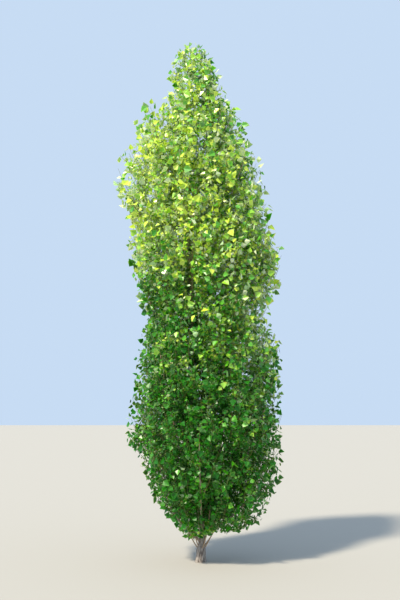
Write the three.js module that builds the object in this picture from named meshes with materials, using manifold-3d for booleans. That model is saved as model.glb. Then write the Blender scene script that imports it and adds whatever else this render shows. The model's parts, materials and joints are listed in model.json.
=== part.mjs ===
// A young feathered poplar: one leader with steep boughs from its foot to its tip, each ending in a mass of
// leaves. Millimetres, +Z up. The origin is the middle of the flat cut at ground level, and -Y is the front.

import * as THREE from "three";
import { mergeVertices } from "three/addons/utils/BufferGeometryUtils.js";
import Module from "manifold-3d";

const wasm = await Module();
wasm.setup();
const { Manifold } = wasm;
const { lerp, clamp, degToRad } = THREE.MathUtils;

const CLEAR = 0.3; // the gap between two pieces that meet
const KEEP_OFF = 3; // how far leaves and twigs stay from a limb
const TURN = degToRad(137.5); // from one bough or twig to the next

// The trunk's middle line, and its radius by height. The foot is one thick stool that the side stems leave.
const TRUNK_LINE = [
  [0, 0, -80],
  [22, 0, 450],
  [-40, 10, 1500],
  [-108, 15, 2900],
  [-125, 5, 4300],
  [-130, 0, 5150],
];
const TRUNK_RADII = [
  [0, 58],
  [50, 53],
  [130, 49],
  [205, 28],
  [450, 23.5],
  [1500, 18.5],
  [2900, 13],
  [4300, 9],
  [5150, 6.5],
];
const LEADER_TOP = [-120, 0, 5560]; // the tip of the shoot that goes on from the trunk
const LEADER_BEND = 200; // how far the shoot runs on the way the trunk points before it bends
const TRUNK_SIDES = 10;
const TRUNK_STEPS = 20;
const FLARE = { lobes: 5, depth: 0.16, height: 70 }; // the root flare's ridges, and how fast they fade

// The crown's reach from the vertical line over the origin, by height: to the left (-X), and to the right
const CROWN = [
  [250, 130, 110],
  [330, 180, 420],
  [400, 230, 640],
  [470, 330, 710],
  [560, 410, 760],
  [860, 570, 850],
  [1290, 850, 950],
  [1720, 790, 940],
  [2250, 710, 930],
  [2500, 630, 880],
  [2630, 570, 720],
  [2950, 730, 920],
  [3350, 810, 985],
  [3700, 840, 800],
  [4110, 950, 770],
  [4420, 1010, 680],
  [4640, 760, 560],
  [4900, 710, 500],
  [5070, 640, 410],
  [5220, 350, 280],
  [5380, 345, 260],
  [5500, 345, 195],
  [5610, 335, 165],
  [5740, 320, 110],
  [5870, 170, -60],
];
const DEPTH_SMOOTHING = 350; // over this height, up and down, the front and back even out the two sides
const DEPTH_MOST = 1.25; // and they stay under this share of the two sides' mean

// Boughs, from the lowest tip to the highest
const BOUGH_COUNT = 25;
const TIP_HEIGHTS = [700, 5250];
const TIP_CROWDING = 1.15; // over 1 sets the low tips closer together than the high ones
const FIRST_TURN = degToRad(80);
const SIDE_PULL = 0.22; // how far the boughs lean to the left and the right, where the crown is widest
const TURN_SPREAD = 0.4; // radians
// How far a bough climbs from the trunk to its tip, by the tip's height, and how much that varies
const RISES = [
  [620, 470],
  [1300, 1020],
  [2400, 1500],
  [3800, 1350],
  [4600, 1000],
  [5280, 560],
];
const RISE_SPREAD = 0.16;
const TIP_SHARE = 0.86; // a tip's place between the middle line and the crown's edge
const ELBOW = { out: 0.66, up: 0.34 }; // a bough's control point, in shares of its reach and its rise
const BARE_SHARE = 0.3; // how much of a bough is bare before its mass begins
const BOUGH_SHARE = 0.5; // a bough's radius at its root, in shares of the trunk's there
const BOUGH_RADII = [8, 13]; // the least and the most
const BOUGH_TAPER = 0.8; // the radius where the mass begins, in shares of the root's
const STEM_TIP_RADIUS = 5.5;

// Twigs and leaves
const TWIG_SPACING = 88;
const TWIGS_LEAST = 4;
const TWIG_SHARES = [0.06, 0.94]; // the first and the last twig's place along their stem
const TWIG_RADII = [4.8, 4.2];
const TWIG_SLANT = [58, 26]; // degrees from the stem, at its foot and at its tip
const TWIG_LENGTHS = [90, 460];
const TWIG_SPREAD = [0.8, 1]; // how long a twig may grow, in shares of the longest
const TWIG_SHORTENING = 0.55; // the length at the stem's tip, in shares of that at its foot
const TWIG_STEP = 20; // a twig grows by this much at a time
const TWIG_STOP = 30; // and ends this far inside its cell's edge
const OUTER = 0.5; // a twig's end lies further out than this share of the crown's reach
// A core's greatest and least half width, and the shares of its stem where it begins and ends
const CORE = { width: 110, least: 20, from: 0.08, to: 0.9 };
// A leaf's length, and the rest in shares of it
const LEAF = { length: 310, width: 0.94, thickness: 0.034, widest: 0.36, droop: 0.07 };
const LEAF_SPREAD = { length: 0.24, facing: 1.6 }; // how much leaves differ
const LEAF_SPACING = 122;
const LEAF_ROOT = 1; // how far a leaf's foot lies beyond its twig's middle
const LEAF_END = 16; // from a twig's tip to its last leaf
const LEAF_TRIES = 16;
const LEAF_SWING = [0.5, 4]; // radians, at the first try and at the last
const LEAF_SHRINK = 0.65; // the last try's length, in shares of the first's
const LEAF_ANGLE = degToRad(80); // between a leaf and its twig
const FLATNESS = 0.8; // how nearly a leaf's face lies along its twig
const CELL_GAP = 14; // a leaf is this much nearer to its own stem than to any other
const SEEDS = 100; // chance is asked with numbers this far apart for each mass
const LAST_SEED = 77; // this one for the leaf at the stem's tip
const LEAF_SEEDS = 1000; // and this far apart for each leaf on a twig
const STEM_SPOTS = 8; // a stem is this many straight pieces where distances to it are measured
const LAST_LEAF = 0.985; // the place of the leaf at a stem's tip

const BARK = { color: 0x8a7a66, roughness: 0.9, metalness: 0 };
const FOLIAGE = [
  { name: "low", below: 1900, color: 0x2f5f24, roughness: 0.55, metalness: 0 },
  { name: "middle", below: 4000, color: 0x4a7f24, roughness: 0.55, metalness: 0 },
  { name: "high", below: Infinity, color: 0x76a52b, roughness: 0.55, metalness: 0 },
];

// Numbers and vectors

const vec = (x, y, z) => new THREE.Vector3(x, y, z);
const UP = vec(0, 0, 1);

// A number from 0 to 1 that depends only on its two arguments, so that the tree is the same each time.
function chance(a, b) {
  const s = Math.sin(a * 12.9898 + b * 78.233 + 4.137) * 43758.5453;
  return s - Math.floor(s);
}

// The value in one column of rows that are sorted by their first column.
function between(rows, x, column = 1) {
  const k = rows.findIndex((row) => row[0] >= x);
  if (k === 0) return rows[0][column];
  if (k < 0) return rows.at(-1)[column];
  const share = (x - rows[k - 1][0]) / (rows[k][0] - rows[k - 1][0]);
  return lerp(rows[k - 1][column], rows[k][column], share);
}

// The crown's reach at a height, in a direction round the vertical line over the origin.
function reach(height, angle) {
  const c = Math.cos(angle);
  const side = between(CROWN, height, c > 0 ? 2 : 1);
  const heights = [-1, -0.5, 0, 0.5, 1].map((s) => height + s * DEPTH_SMOOTHING);
  const means = heights.map((h) => (between(CROWN, h, 1) + between(CROWN, h, 2)) / 2);
  const depth = Math.min(means.reduce((sum, m) => sum + m) / means.length, DEPTH_MOST * means[2]);
  return lerp(depth, side, c * c);
}

function insideCrown(p, margin = 0) {
  if (p.z < CROWN[0][0] + margin || p.z > CROWN.at(-1)[0] - margin) return false;
  return Math.hypot(p.x, p.y) < reach(p.z, Math.atan2(p.y, p.x)) - margin;
}

// Solids

function solidFrom(geometry) {
  const plain = geometry.clone();
  plain.deleteAttribute("normal");
  plain.deleteAttribute("uv");
  const merged = mergeVertices(plain, 1e-3);
  return new Manifold(
    new wasm.Mesh({
      numProp: 3,
      vertProperties: merged.attributes.position.array,
      triVerts: new Uint32Array(merged.index.array),
    }),
  );
}

function geometryFrom(solid) {
  const mesh = solid.getMesh();
  const places = new Float32Array(mesh.numVert * 3);
  for (let i = 0; i < mesh.numVert; i++) {
    places.set(mesh.vertProperties.subarray(i * mesh.numProp, i * mesh.numProp + 3), i * 3);
  }
  const geometry = new THREE.BufferGeometry();
  geometry.setAttribute("position", new THREE.BufferAttribute(places, 3));
  geometry.setIndex(new THREE.BufferAttribute(mesh.triVerts, 1));
  geometry.computeVertexNormals();
  return geometry;
}

// Moves each vertex of a geometry to where place(vertex) says.
function reshape(geometry, place) {
  const spots = geometry.getAttribute("position");
  const p = vec(0, 0, 0);
  for (let i = 0; i < spots.count; i++) {
    const q = place(p.fromBufferAttribute(spots, i));
    spots.setXYZ(i, q.x, q.y, q.z);
  }
  return geometry;
}

// A limb along a curve, between two shares of its length: a prism whose rings are set square to the curve.
// radiusAt gives each corner's radius for its share of the limb, its angle and its ring's middle.
function limb(curve, radiusAt, sides, steps, [from, to] = [0, 1]) {
  const chord = curve.getPointAt(1).sub(curve.getPointAt(0));
  const slants = Math.hypot(chord.x, chord.y) > 0.1 * chord.length();
  const level = slants ? vec(-chord.y, chord.x, 0) : vec(0, 1, 0);
  const rings = Array.from({ length: steps + 1 }, (_, k) => {
    const share = lerp(from, to, k / steps);
    const tangent = curve.getTangentAt(share);
    const across = level.clone().cross(tangent).normalize();
    return { middle: curve.getPointAt(share), across, level: tangent.cross(across) };
  });
  const corners = Array.from({ length: sides }, (_, k) => {
    const angle = (2 * Math.PI * k) / sides;
    return new THREE.Vector2(Math.cos(angle), Math.sin(angle));
  });
  const section = new THREE.Shape(corners);
  const prism = new THREE.ExtrudeGeometry(section, { depth: 1, steps, bevelEnabled: false });
  return solidFrom(
    reshape(prism, (p) => {
      const k = Math.round(p.z * steps);
      const ring = rings[k];
      const radius = radiusAt(k / steps, Math.atan2(p.y, p.x), ring.middle);
      const way = ring.across.clone().multiplyScalar(p.x).addScaledVector(ring.level, p.y);
      return way.multiplyScalar(radius).add(ring.middle);
    }),
  );
}

function largest(solid) {
  return solid.decompose().reduce((a, b) => (a.volume() > b.volume() ? a : b));
}

// The trunk

const trunkCurve = new THREE.CatmullRomCurve3(TRUNK_LINE.map((p) => vec(...p)));

function trunkAt(height) {
  let low = 0;
  let high = 1;
  for (let n = 0; n < 30; n++) {
    const middle = (low + high) / 2;
    if (trunkCurve.getPointAt(middle).z < height) low = middle;
    else high = middle;
  }
  return trunkCurve.getPointAt(low);
}

function trunkRadius(height, angle) {
  const fade = Math.exp(-Math.max(height, 0) / FLARE.height);
  return between(TRUNK_RADII, height) * (1 + FLARE.depth * fade * Math.cos(FLARE.lobes * angle));
}

function trunkSolid(extra = 0) {
  const radiusAt = (_, angle, spot) => trunkRadius(spot.z, angle) + extra;
  const whole = limb(trunkCurve, radiusAt, TRUNK_SIDES, TRUNK_STEPS);
  const below = new THREE.BoxGeometry(600, 600, 400).translate(0, 0, -200);
  return whole.subtract(solidFrom(below));
}

// The boughs

function boughPlan(i) {
  const share = i / (BOUGH_COUNT - 1);
  const tipHeight = lerp(...TIP_HEIGHTS, share ** TIP_CROWDING);
  const even = FIRST_TURN + i * TURN + TURN_SPREAD * (chance(i, 1) - 0.5);
  const angle = even - SIDE_PULL * Math.sin(2 * even);
  const rise = between(RISES, tipHeight) * (1 + RISE_SPREAD * (chance(i, 2) - 0.5));
  const root = trunkAt(tipHeight - rise);
  const out = reach(tipHeight - 60, angle) * TIP_SHARE;
  const tip = vec(out * Math.cos(angle), out * Math.sin(angle), tipHeight);
  const elbow = root.clone().lerp(tip, ELBOW.out).setZ(root.z + rise * ELBOW.up);
  const thick = clamp(between(TRUNK_RADII, root.z) * BOUGH_SHARE, ...BOUGH_RADII);
  return { curve: new THREE.QuadraticBezierCurve3(root, elbow, tip), thick };
}

function boughSolid(plan, extra = 0) {
  const end = BARE_SHARE + extra / plan.curve.getLength();
  const radiusAt = (t) => plan.thick * lerp(1, BOUGH_TAPER, t) + extra;
  return largest(limb(plan.curve, radiusAt, 6, 2, [0, end]).subtract(trunkGrown));
}

// The masses of foliage. Each has a stem that goes on from its bough, and a cell: the space nearer to that
// stem than to the others.

function stemOf({ curve, thick }, from) {
  const shares = Array.from({ length: STEM_SPOTS + 1 }, (_, k) => lerp(from, 1, k / STEM_SPOTS));
  const spots = shares.map((share) => curve.getPointAt(share));
  return { curve, from, spots, thick, length: (1 - from) * curve.getLength() };
}

function leaderPlan() {
  const onward = trunkCurve.getTangentAt(1);
  const foot = trunkCurve.getPointAt(1);
  const bend = foot.clone().addScaledVector(onward, LEADER_BEND);
  const curve = new THREE.QuadraticBezierCurve3(foot, bend, vec(...LEADER_TOP));
  return { curve, thick: TRUNK_RADII.at(-1)[1] };
}

function distanceTo(stem, p) {
  const line = new THREE.Line3();
  const near = vec(0, 0, 0);
  let least = Infinity;
  for (let k = 1; k < stem.spots.length; k++) {
    line.set(stem.spots[k - 1], stem.spots[k]).closestPointToPoint(p, true, near);
    least = Math.min(least, near.distanceTo(p));
  }
  return least;
}

function inCell(own, p, gap = CELL_GAP, margin = 0) {
  if (!insideCrown(p, margin)) return false;
  const mine = distanceTo(own, p) + gap;
  return stems.every((stem) => stem === own || distanceTo(stem, p) > mine);
}

// A leaf is a thin kite of 6 faces: its foot, two shoulders, drooping tip, and the middle of its rib.
const LEAF_CORNERS = [0, -1, 0, -1, 0, 0, 1, 0, 0, 0, 1, 0, 0, 0, 1];
const LEAF_FACES = [0, 4, 1, 0, 2, 4, 3, 1, 4, 3, 4, 2, 0, 1, 2, 3, 2, 1];

function leafShape(foot, along, facing, length) {
  const across = along.clone().cross(facing).normalize();
  const kite = new THREE.PolyhedronGeometry(LEAF_CORNERS, LEAF_FACES, 1, 0);
  return reshape(kite, (p) => {
    const half = p.y > 0 ? 1 - LEAF.widest : LEAF.widest;
    const y = (LEAF.widest + p.y * half) * length - LEAF_ROOT;
    const drop = Math.max(p.y, 0) * LEAF.droop * length;
    return foot
      .clone()
      .addScaledVector(along, y)
      .addScaledVector(across, (p.x * LEAF.width * length) / 2)
      .addScaledVector(facing, p.z * LEAF.thickness * length - drop);
  });
}

// The corners of a geometry's faces and the middles of their edges.
function probes(geometry) {
  const spots = geometry.getAttribute("position");
  const found = [];
  for (let i = 0; i < spots.count; i += 3) {
    const corners = [0, 1, 2].map((k) => vec(0, 0, 0).fromBufferAttribute(spots, i + k));
    corners.forEach((corner, k) => found.push(corner, corner.clone().lerp(corners[(k + 1) % 3], 0.5)));
  }
  return found;
}

// A leaf faces outwards and leaves its twig at an angle. It swings round and shrinks from try to try until it
// keeps to its cell and off what is in its way, or is left out.
function leafSolid(own, foot, way, angle, seed, inTheWay) {
  const outward = vec(foot.x, foot.y, 0).normalize();
  const round = UP.clone().cross(outward);
  const length = LEAF.length * (1 + LEAF_SPREAD.length * (chance(seed, 7) - 0.5));
  for (let n = 0; n < LEAF_TRIES; n++) {
    const facing = outward
      .clone()
      .addScaledVector(way, -FLATNESS * outward.dot(way))
      .addScaledVector(round, LEAF_SPREAD.facing * (chance(seed + n, 2) - 0.5))
      .normalize();
    const swing = lerp(...LEAF_SWING, n / LEAF_TRIES) * (chance(seed + n, 3) - 0.5);
    const along = way.clone().addScaledVector(facing, -way.dot(facing)).normalize();
    along.applyAxisAngle(facing, swing + (n % 2 ? angle : -angle));
    const shape = leafShape(foot, along, facing, length * lerp(1, LEAF_SHRINK, n / LEAF_TRIES));
    if (!probes(shape).every((p) => inCell(own, p))) continue;
    const solid = solidFrom(shape);
    if (inTheWay.every((other) => solid.intersect(other).isEmpty())) return solid;
  }
  return null;
}

// A dense mass has a core round its stem: a spindle of eight faces that keeps well inside the cell.
function coreSolid(own) {
  const middle = own.curve.getPointAt(lerp(own.from, 1, (CORE.from + CORE.to) / 2));
  const ends = [CORE.from, CORE.to].map((t) => own.curve.getPointAt(lerp(own.from, 1, t)));
  const along = ends[1].clone().sub(ends[0]).normalize();
  const turned = new THREE.Quaternion().setFromUnitVectors(UP, along);
  const spindle = reshape(new THREE.OctahedronGeometry(1), (p) => {
    if (Math.abs(p.z) > 0.5) return ends[p.z > 0 ? 1 : 0];
    const way = p.clone().multiplyScalar(CORE.width).applyQuaternion(turned);
    while (way.length() > CORE.least && !inCell(own, middle.clone().addScaledVector(way, 2))) {
      way.multiplyScalar(0.9);
    }
    return way.add(middle);
  });
  return solidFrom(spindle).subtract(limbs);
}

// A twig leaves the stem and runs until it would leave the cell. It is left out if it is too short, ends deep
// inside the crown or touches a limb.
function twigOf(own, t, seed) {
  const share = lerp(own.from, 1, t);
  const foot = own.curve.getPointAt(share);
  const tangent = own.curve.getTangentAt(share);
  const slant = degToRad(lerp(...TWIG_SLANT, t));
  const across = tangent.clone().cross(vec(1, 0, 0)).normalize();
  across.applyAxisAngle(tangent, seed * TURN + chance(seed, 11));
  const way = tangent.clone().multiplyScalar(Math.cos(slant)).addScaledVector(across, Math.sin(slant));
  const longest = TWIG_LENGTHS[1] * lerp(...TWIG_SPREAD, chance(seed, 12)) * lerp(1, TWIG_SHORTENING, t);
  let length = 0;
  while (length < longest) {
    const ahead = foot.clone().addScaledVector(way, length + TWIG_STEP);
    if (!inCell(own, ahead, 2 * TWIG_STOP, TWIG_STOP)) break;
    length += TWIG_STEP;
  }
  const tip = foot.clone().addScaledVector(way, length);
  const depth = Math.hypot(tip.x, tip.y) / reach(tip.z, Math.atan2(tip.y, tip.x));
  if (length < TWIG_LENGTHS[0] || depth < OUTER) return null;
  const curve = new THREE.LineCurve3(foot, tip);
  const solid = limb(curve, (part) => lerp(...TWIG_RADII, part), 3, 1);
  return solid.intersect(limbs).isEmpty() ? { solid, curve, length, way, seed } : null;
}

function massOf(own, i) {
  const gap = CLEAR / own.curve.getLength();
  const stem = limb(own.curve, (t) => lerp(own.thick, STEM_TIP_RADIUS, t), 5, 3, [own.from + gap, 1]);
  const body = stem.add(coreSolid(own));
  const count = Math.max(TWIGS_LEAST, Math.round(own.length / TWIG_SPACING));
  const shares = Array.from({ length: count }, (_, k) => lerp(...TWIG_SHARES, 1 - k / (count - 1)));
  const twigs = shares.map((t, k) => twigOf(own, t, i * SEEDS + k)).filter(Boolean);
  const leaves = [];
  const addLeaf = (foot, way, angle, seed, others) => {
    const leaf = leafSolid(own, foot, way, angle, seed, [limbs, ...leaves, ...others]);
    if (leaf) leaves.push(leaf);
  };
  const twigSolids = twigs.map((twig) => twig.solid);
  addLeaf(own.curve.getPointAt(LAST_LEAF), own.curve.getTangentAt(1), 0, i * SEEDS + LAST_SEED, twigSolids);
  for (const twig of twigs) {
    const others = [body, ...twigSolids.filter((other) => other !== twig.solid)];
    const leafCount = Math.max(1, Math.round(twig.length / LEAF_SPACING));
    for (let j = 0; j < leafCount; j++) {
      const share = Math.max(1 - (LEAF_END + j * LEAF_SPACING) / twig.length, 0.1);
      const side = LEAF_ANGLE * (j % 2 ? 1 : -1);
      addLeaf(twig.curve.getPointAt(share), twig.way, side, twig.seed + LEAF_SEEDS * (j + 1), others);
    }
  }
  return largest(Manifold.union([body, ...twigSolids, ...leaves]));
}

// The tree

const trunk = trunkSolid();
const trunkGrown = trunkSolid(CLEAR);
const plans = Array.from({ length: BOUGH_COUNT }, (_, i) => boughPlan(i));
const boughs = plans.map((plan) => boughSolid(plan));
const limbs = Manifold.union([trunkSolid(KEEP_OFF), ...plans.map((plan) => boughSolid(plan, KEEP_OFF))]);
const stems = plans.map((plan) => stemOf({ ...plan, thick: plan.thick * BOUGH_TAPER }, BARE_SHARE));
stems.push(stemOf(leaderPlan(), 0));
const masses = stems.map(massOf);

const materialOf = ({ color, roughness, metalness }) =>
  new THREE.MeshStandardMaterial({ color, roughness, metalness });

function meshOf(name, solid, finish) {
  const mesh = new THREE.Mesh(geometryFrom(solid), materialOf(finish));
  mesh.name = name;
  return mesh;
}

const twoDigits = (i) => String(i + 1).padStart(2, "0");
const tree = new THREE.Group();
tree.add(meshOf("trunk", trunk, BARK));
boughs.forEach((solid, i) => tree.add(meshOf(`bough_${twoDigits(i)}`, solid, BARK)));
masses.forEach((solid, i) => {
  const finish = FOLIAGE.find((band) => stems[i].spots[STEM_SPOTS / 2].z < band.below);
  const name = i < BOUGH_COUNT ? `foliage_${finish.name}_${twoDigits(i)}` : "foliage_leader";
  tree.add(meshOf(name, solid, finish));
});

export default tree;
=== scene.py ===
"""A young feathered poplar: bark in relief, twigs that grow on from its boughs, and rhombic leaves."""

import json
import math
from functools import lru_cache

import bpy
import numpy as np
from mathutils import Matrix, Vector, kdtree, noise

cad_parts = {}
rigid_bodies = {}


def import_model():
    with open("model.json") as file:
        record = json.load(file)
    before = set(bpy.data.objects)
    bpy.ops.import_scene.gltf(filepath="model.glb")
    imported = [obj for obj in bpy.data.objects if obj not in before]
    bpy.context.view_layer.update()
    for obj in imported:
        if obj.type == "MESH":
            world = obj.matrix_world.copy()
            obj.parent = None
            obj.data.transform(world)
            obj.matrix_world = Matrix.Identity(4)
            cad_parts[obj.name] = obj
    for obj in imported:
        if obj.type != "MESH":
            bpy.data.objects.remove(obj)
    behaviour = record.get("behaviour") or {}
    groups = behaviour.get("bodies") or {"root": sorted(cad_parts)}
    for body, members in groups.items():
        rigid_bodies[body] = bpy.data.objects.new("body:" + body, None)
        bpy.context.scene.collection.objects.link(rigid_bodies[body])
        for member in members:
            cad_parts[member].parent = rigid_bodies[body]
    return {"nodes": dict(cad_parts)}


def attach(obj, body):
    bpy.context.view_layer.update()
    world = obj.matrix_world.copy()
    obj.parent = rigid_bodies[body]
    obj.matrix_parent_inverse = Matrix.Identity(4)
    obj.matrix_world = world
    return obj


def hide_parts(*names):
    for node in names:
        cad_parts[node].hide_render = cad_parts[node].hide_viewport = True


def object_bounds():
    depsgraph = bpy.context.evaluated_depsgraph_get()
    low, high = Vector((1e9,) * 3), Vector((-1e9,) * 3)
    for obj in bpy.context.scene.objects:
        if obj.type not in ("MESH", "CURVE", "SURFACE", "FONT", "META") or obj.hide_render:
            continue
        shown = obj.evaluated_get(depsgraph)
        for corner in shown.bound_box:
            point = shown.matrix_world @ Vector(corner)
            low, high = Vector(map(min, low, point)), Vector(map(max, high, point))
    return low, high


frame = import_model()
cad_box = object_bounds()

bl_info = {
    "name": "Feathered Poplar",
    "version": (1, 0, 0),
    "blender": (4, 5, 0),
    "location": "View3D > Sidebar > Poplar",
    "description": "Grows a young poplar with its bark, twigs and leaves by one rule",
    "category": "Object",
}

# The tree's own rule of growth, in metres, as in the part's source

TURN = math.radians(137.5)  # from one bough, twig or leaf to the next
UP = np.array((0.0, 0.0, 1.0))
TRUNK_LINE = (  # points that the middle of the trunk goes through
    (0, 0, -0.08),
    (0.022, 0, 0.45),
    (-0.04, 0.01, 1.5),
    (-0.108, 0.015, 2.9),
    (-0.125, 0.005, 4.3),
    (-0.13, 0, 5.15),
)
TRUNK_HEIGHTS = (0, 0.05, 0.13, 0.205, 0.45, 1.5, 2.9, 4.3, 5.15)  # and its radii at these heights
TRUNK_RADII = (0.058, 0.053, 0.049, 0.028, 0.0235, 0.0185, 0.013, 0.009, 0.0065)
LEADER_TOP = np.array((-0.12, 0, 5.56))
LEADER_BEND = 0.2
FLARE_LOBES = 5  # of the root flare
FLARE_DEPTH = 0.16
FLARE_HEIGHT = 0.07

# The crown's reach by height: to the left (-X), and to the right (+X)
CROWN = np.array(
    (
        (0.25, 0.13, 0.11),
        (0.33, 0.18, 0.42),
        (0.4, 0.23, 0.64),
        (0.47, 0.33, 0.71),
        (0.56, 0.41, 0.76),
        (0.86, 0.57, 0.85),
        (1.29, 0.85, 0.95),
        (1.72, 0.79, 0.94),
        (2.25, 0.71, 0.93),
        (2.5, 0.63, 0.88),
        (2.63, 0.57, 0.72),
        (2.95, 0.73, 0.92),
        (3.35, 0.81, 0.985),
        (3.7, 0.84, 0.8),
        (4.11, 0.95, 0.77),
        (4.42, 1.01, 0.68),
        (4.64, 0.76, 0.56),
        (4.9, 0.71, 0.5),
        (5.07, 0.64, 0.41),
        (5.22, 0.35, 0.28),
        (5.38, 0.345, 0.26),
        (5.5, 0.345, 0.195),
        (5.61, 0.335, 0.165),
        (5.74, 0.32, 0.11),
        (5.87, 0.17, -0.06),
    )
)
DEPTH_SMOOTHING = 0.35  # to the front and back it is smoothed this far up and down
DEPTH_MOST = 1.25  # and is at most this share of the mean of both sides

BOUGH_COUNT = 25
TIP_HEIGHTS = (0.7, 5.25)  # of the lowest and the highest bough
TIP_CROWDING = 1.15  # tips lie closer together low down
TIP_LOOK = 0.06  # a tip's reach is the crown's this far below it
FIRST_TURN = math.radians(80)  # the way of the lowest bough
SIDE_PULL = 0.22  # boughs turn towards the two sides by up to this angle
TURN_SPREAD = 0.4
RISE_HEIGHTS = (0.62, 1.3, 2.4, 3.8, 4.6, 5.28)  # how far a bough rises, by the height of its tip
RISES = (0.47, 1.02, 1.5, 1.35, 1.0, 0.56)
RISE_SPREAD = 0.16
TIP_SHARE = 0.86  # a tip lies at this share of the crown's reach
ELBOW_OUT = 0.66  # where a bough bends, as shares of its way out and up
ELBOW_UP = 0.34
BARE_SHARE = 0.3  # of a bough's length, before its foliage begins
BOUGH_SHARE = 0.5  # of the trunk's radius where the bough leaves it
BOUGH_RADII = (0.008, 0.013)  # the least and the most
BOUGH_TAPER = 0.8  # the share of it that is left where the foliage begins
STEM_SPOTS = 8  # straight pieces that stand for a stem when distances to it are measured

TWIG_SHARES = (0.06, 0.94)  # the part of a stem's leafy length that bears twigs
TWIG_SLANT = (58, 26)  # degrees from the stem, at its foot and at its tip
TWIG_LONGEST = 0.46
TWIG_SPREAD = (0.8, 1.0)
TWIG_SHORTENING = 0.55  # the longest twig at the tip, as a share of that at the foot
TWIG_SPACING = 0.088
TWIGS_LEAST = 4
SEEDS = 100  # from the first seed of one stem to that of the next
LAST_SEED = 77  # of the shoot at a stem's tip
BAND_TOPS = (1.9, 4.0, math.inf)  # a stem is in the band that the middle of its foliage is in
BANDS = ("low", "middle", "high")

# How finely curves are measured

CURVE_POINTS = 201  # along any curve
TRUNK_POINTS = 2001  # along the trunk, to find a height
TANGENT_STEP = 1e-4
LIMB_SPOTS = 12  # straight pieces that stand for a whole limb

# What grows on beyond the source's rule

STEP = 0.02  # every shoot grows by this much at a time
SHORTEST = 0.04  # shoots that stay shorter than this are left out
TINY = 1e-6  # keeps a divisor or a direction from being nothing
STEM_TIP_RADIUS = 0.003
TWIG_RADII = (0.003, 0.0014)  # at the foot and at the tip
SPRIG_RADII = (0.0014, 0.0008)
TWIG_STEPS = 2  # a twig's drawn line has a point at every second step, and a sprig's at every fifth
SPRIG_STEPS = 5
LAST_SHOOT = 0.3  # the longest shoot that goes on from a stem's tip
LIFTS = (0.04, 0.08)  # how fast twigs, and sprigs, bend upwards at each step
EDGES = (0.012, 0.12)  # shoots end between these two distances from the crown's edge
OVERLAPS = (0.2, 0.5, 0.3)  # how far twigs, inner shoots and sprigs reach into the room of another stem
SPRIG_SLANT = (66, 40)
SPRIG_LENGTHS = (0.24, 0.1)
SPRIG_SPREAD = (0.6, 1.2)
SPRIG_END = 0.01  # the last sprig is this far from its twig's tip
SPRIG_BARE = 0.12  # and this share of the twig, from its foot on, bears none

TRUNK_SHOOTS = (0.27, 5.1)  # the heights between which the trunk bears short shoots
TRUNK_SHOOT_LONGEST = (0.5, 0.2)
BARE_FROM = 0.06  # the share of a bough's bare length from which it bears short shoots
BARE_LONGEST = (0.4, 0.4)
INNER_SLANT = (64, 40)
INNER_SPREAD = (0.6, 1.0)

OPEN_SPOTS = 9000  # spots all through the crown, to find where it is still open
OPEN_SHARES = (0.25, 1.0)  # how far out they lie, as shares of the crown's reach
LOW_OPEN_SHARES = (0.1, 1.0)
LOW_OPEN_TOP = 1.0  # below this height they begin further in
OPEN_RECESS = (0.0, 0.26)  # in broad waves they keep off the edge by between these shares of the reach
OPEN_WAVE = 0.15
OPEN_LOBE = 0.15  # and within the least reach this far above and below, so that lobes stay free
SPIRE_FOOT = 5.1  # over this height only the reach below counts
REACHING_ROUNDS = 3
REACHING_GAP = 0.065  # a spot that is this far from all wood gets a shoot
REACHING_APART = 0.12
REACHING_BELOW = 0.1  # it comes from the twig that is nearest to a place this far below the spot
REACHING_LONGEST = 0.6
REACHING_OVERLAP = 0.8  # how far these shoots and feathers reach into the room of another stem

FEATHER_SPOTS = 3200  # spots on the crown's side that long, leafy shoots grow up to
FEATHER_SHARES = (0.95, 1.0)
FEATHER_APART = 0.15
FEATHER_BELOW = 0.26  # they come from the wood nearest to a place this far below and inwards
FEATHER_INWARD = 0.16
FEATHER_LONGEST = 0.42
FEATHER_LIFT = 0.02
FEATHER_EDGES = (0, 0)  # they may reach the crown's very edge

STOOL_COUNT = 6  # thin stems from the foot of the trunk
STOOL_TURN = math.radians(20)
STOOL_HEIGHTS = (0.1, 0.17)  # where they leave the trunk
STOOL_OUT = (0.17, 0.34)  # how far they reach out and up
STOOL_TOPS = (0.75, 1.25)
STOOL_ELBOW_OUT = 0.8  # where they bend: this share of the way out, and this far up
STOOL_ELBOW_UP = 0.2
STOOL_BARE = 0.3  # the share of their length, from the trunk on, that bears nothing
STOOL_RADII = (0.0065, 0.0025)

# Where the seeds of each kind of shoot begin, and how they go on to its sprigs and leaves
STEM_SEEDS = 0.5
TRUNK_SEEDS = 5000.0
BARE_SEEDS = 6000.0
STOOL_SEEDS = 8000.0
REACHING_SEEDS = 20000.0
FEATHER_SEEDS = 90000.0
SPRIG_SEED_STEP = 7
LEAF_SEED_STEPS = (3, 1.37)

HOLLOW_RIM = 1.03  # hollows in the crown's side begin at this share of the reach
HOLLOW_WAVE = 0.2  # how large they are
HOLLOW_CONTRAST = 1.6  # how sharply they are set off
HOLLOW_HEIGHTS = (1.0, 3.0, 4.2, 5.2)
HOLLOW_DEPTHS = (0.3, 0.22, 0.42, 0.5)  # and how deep they are at these heights, as shares of the reach

# Leaves

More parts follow.
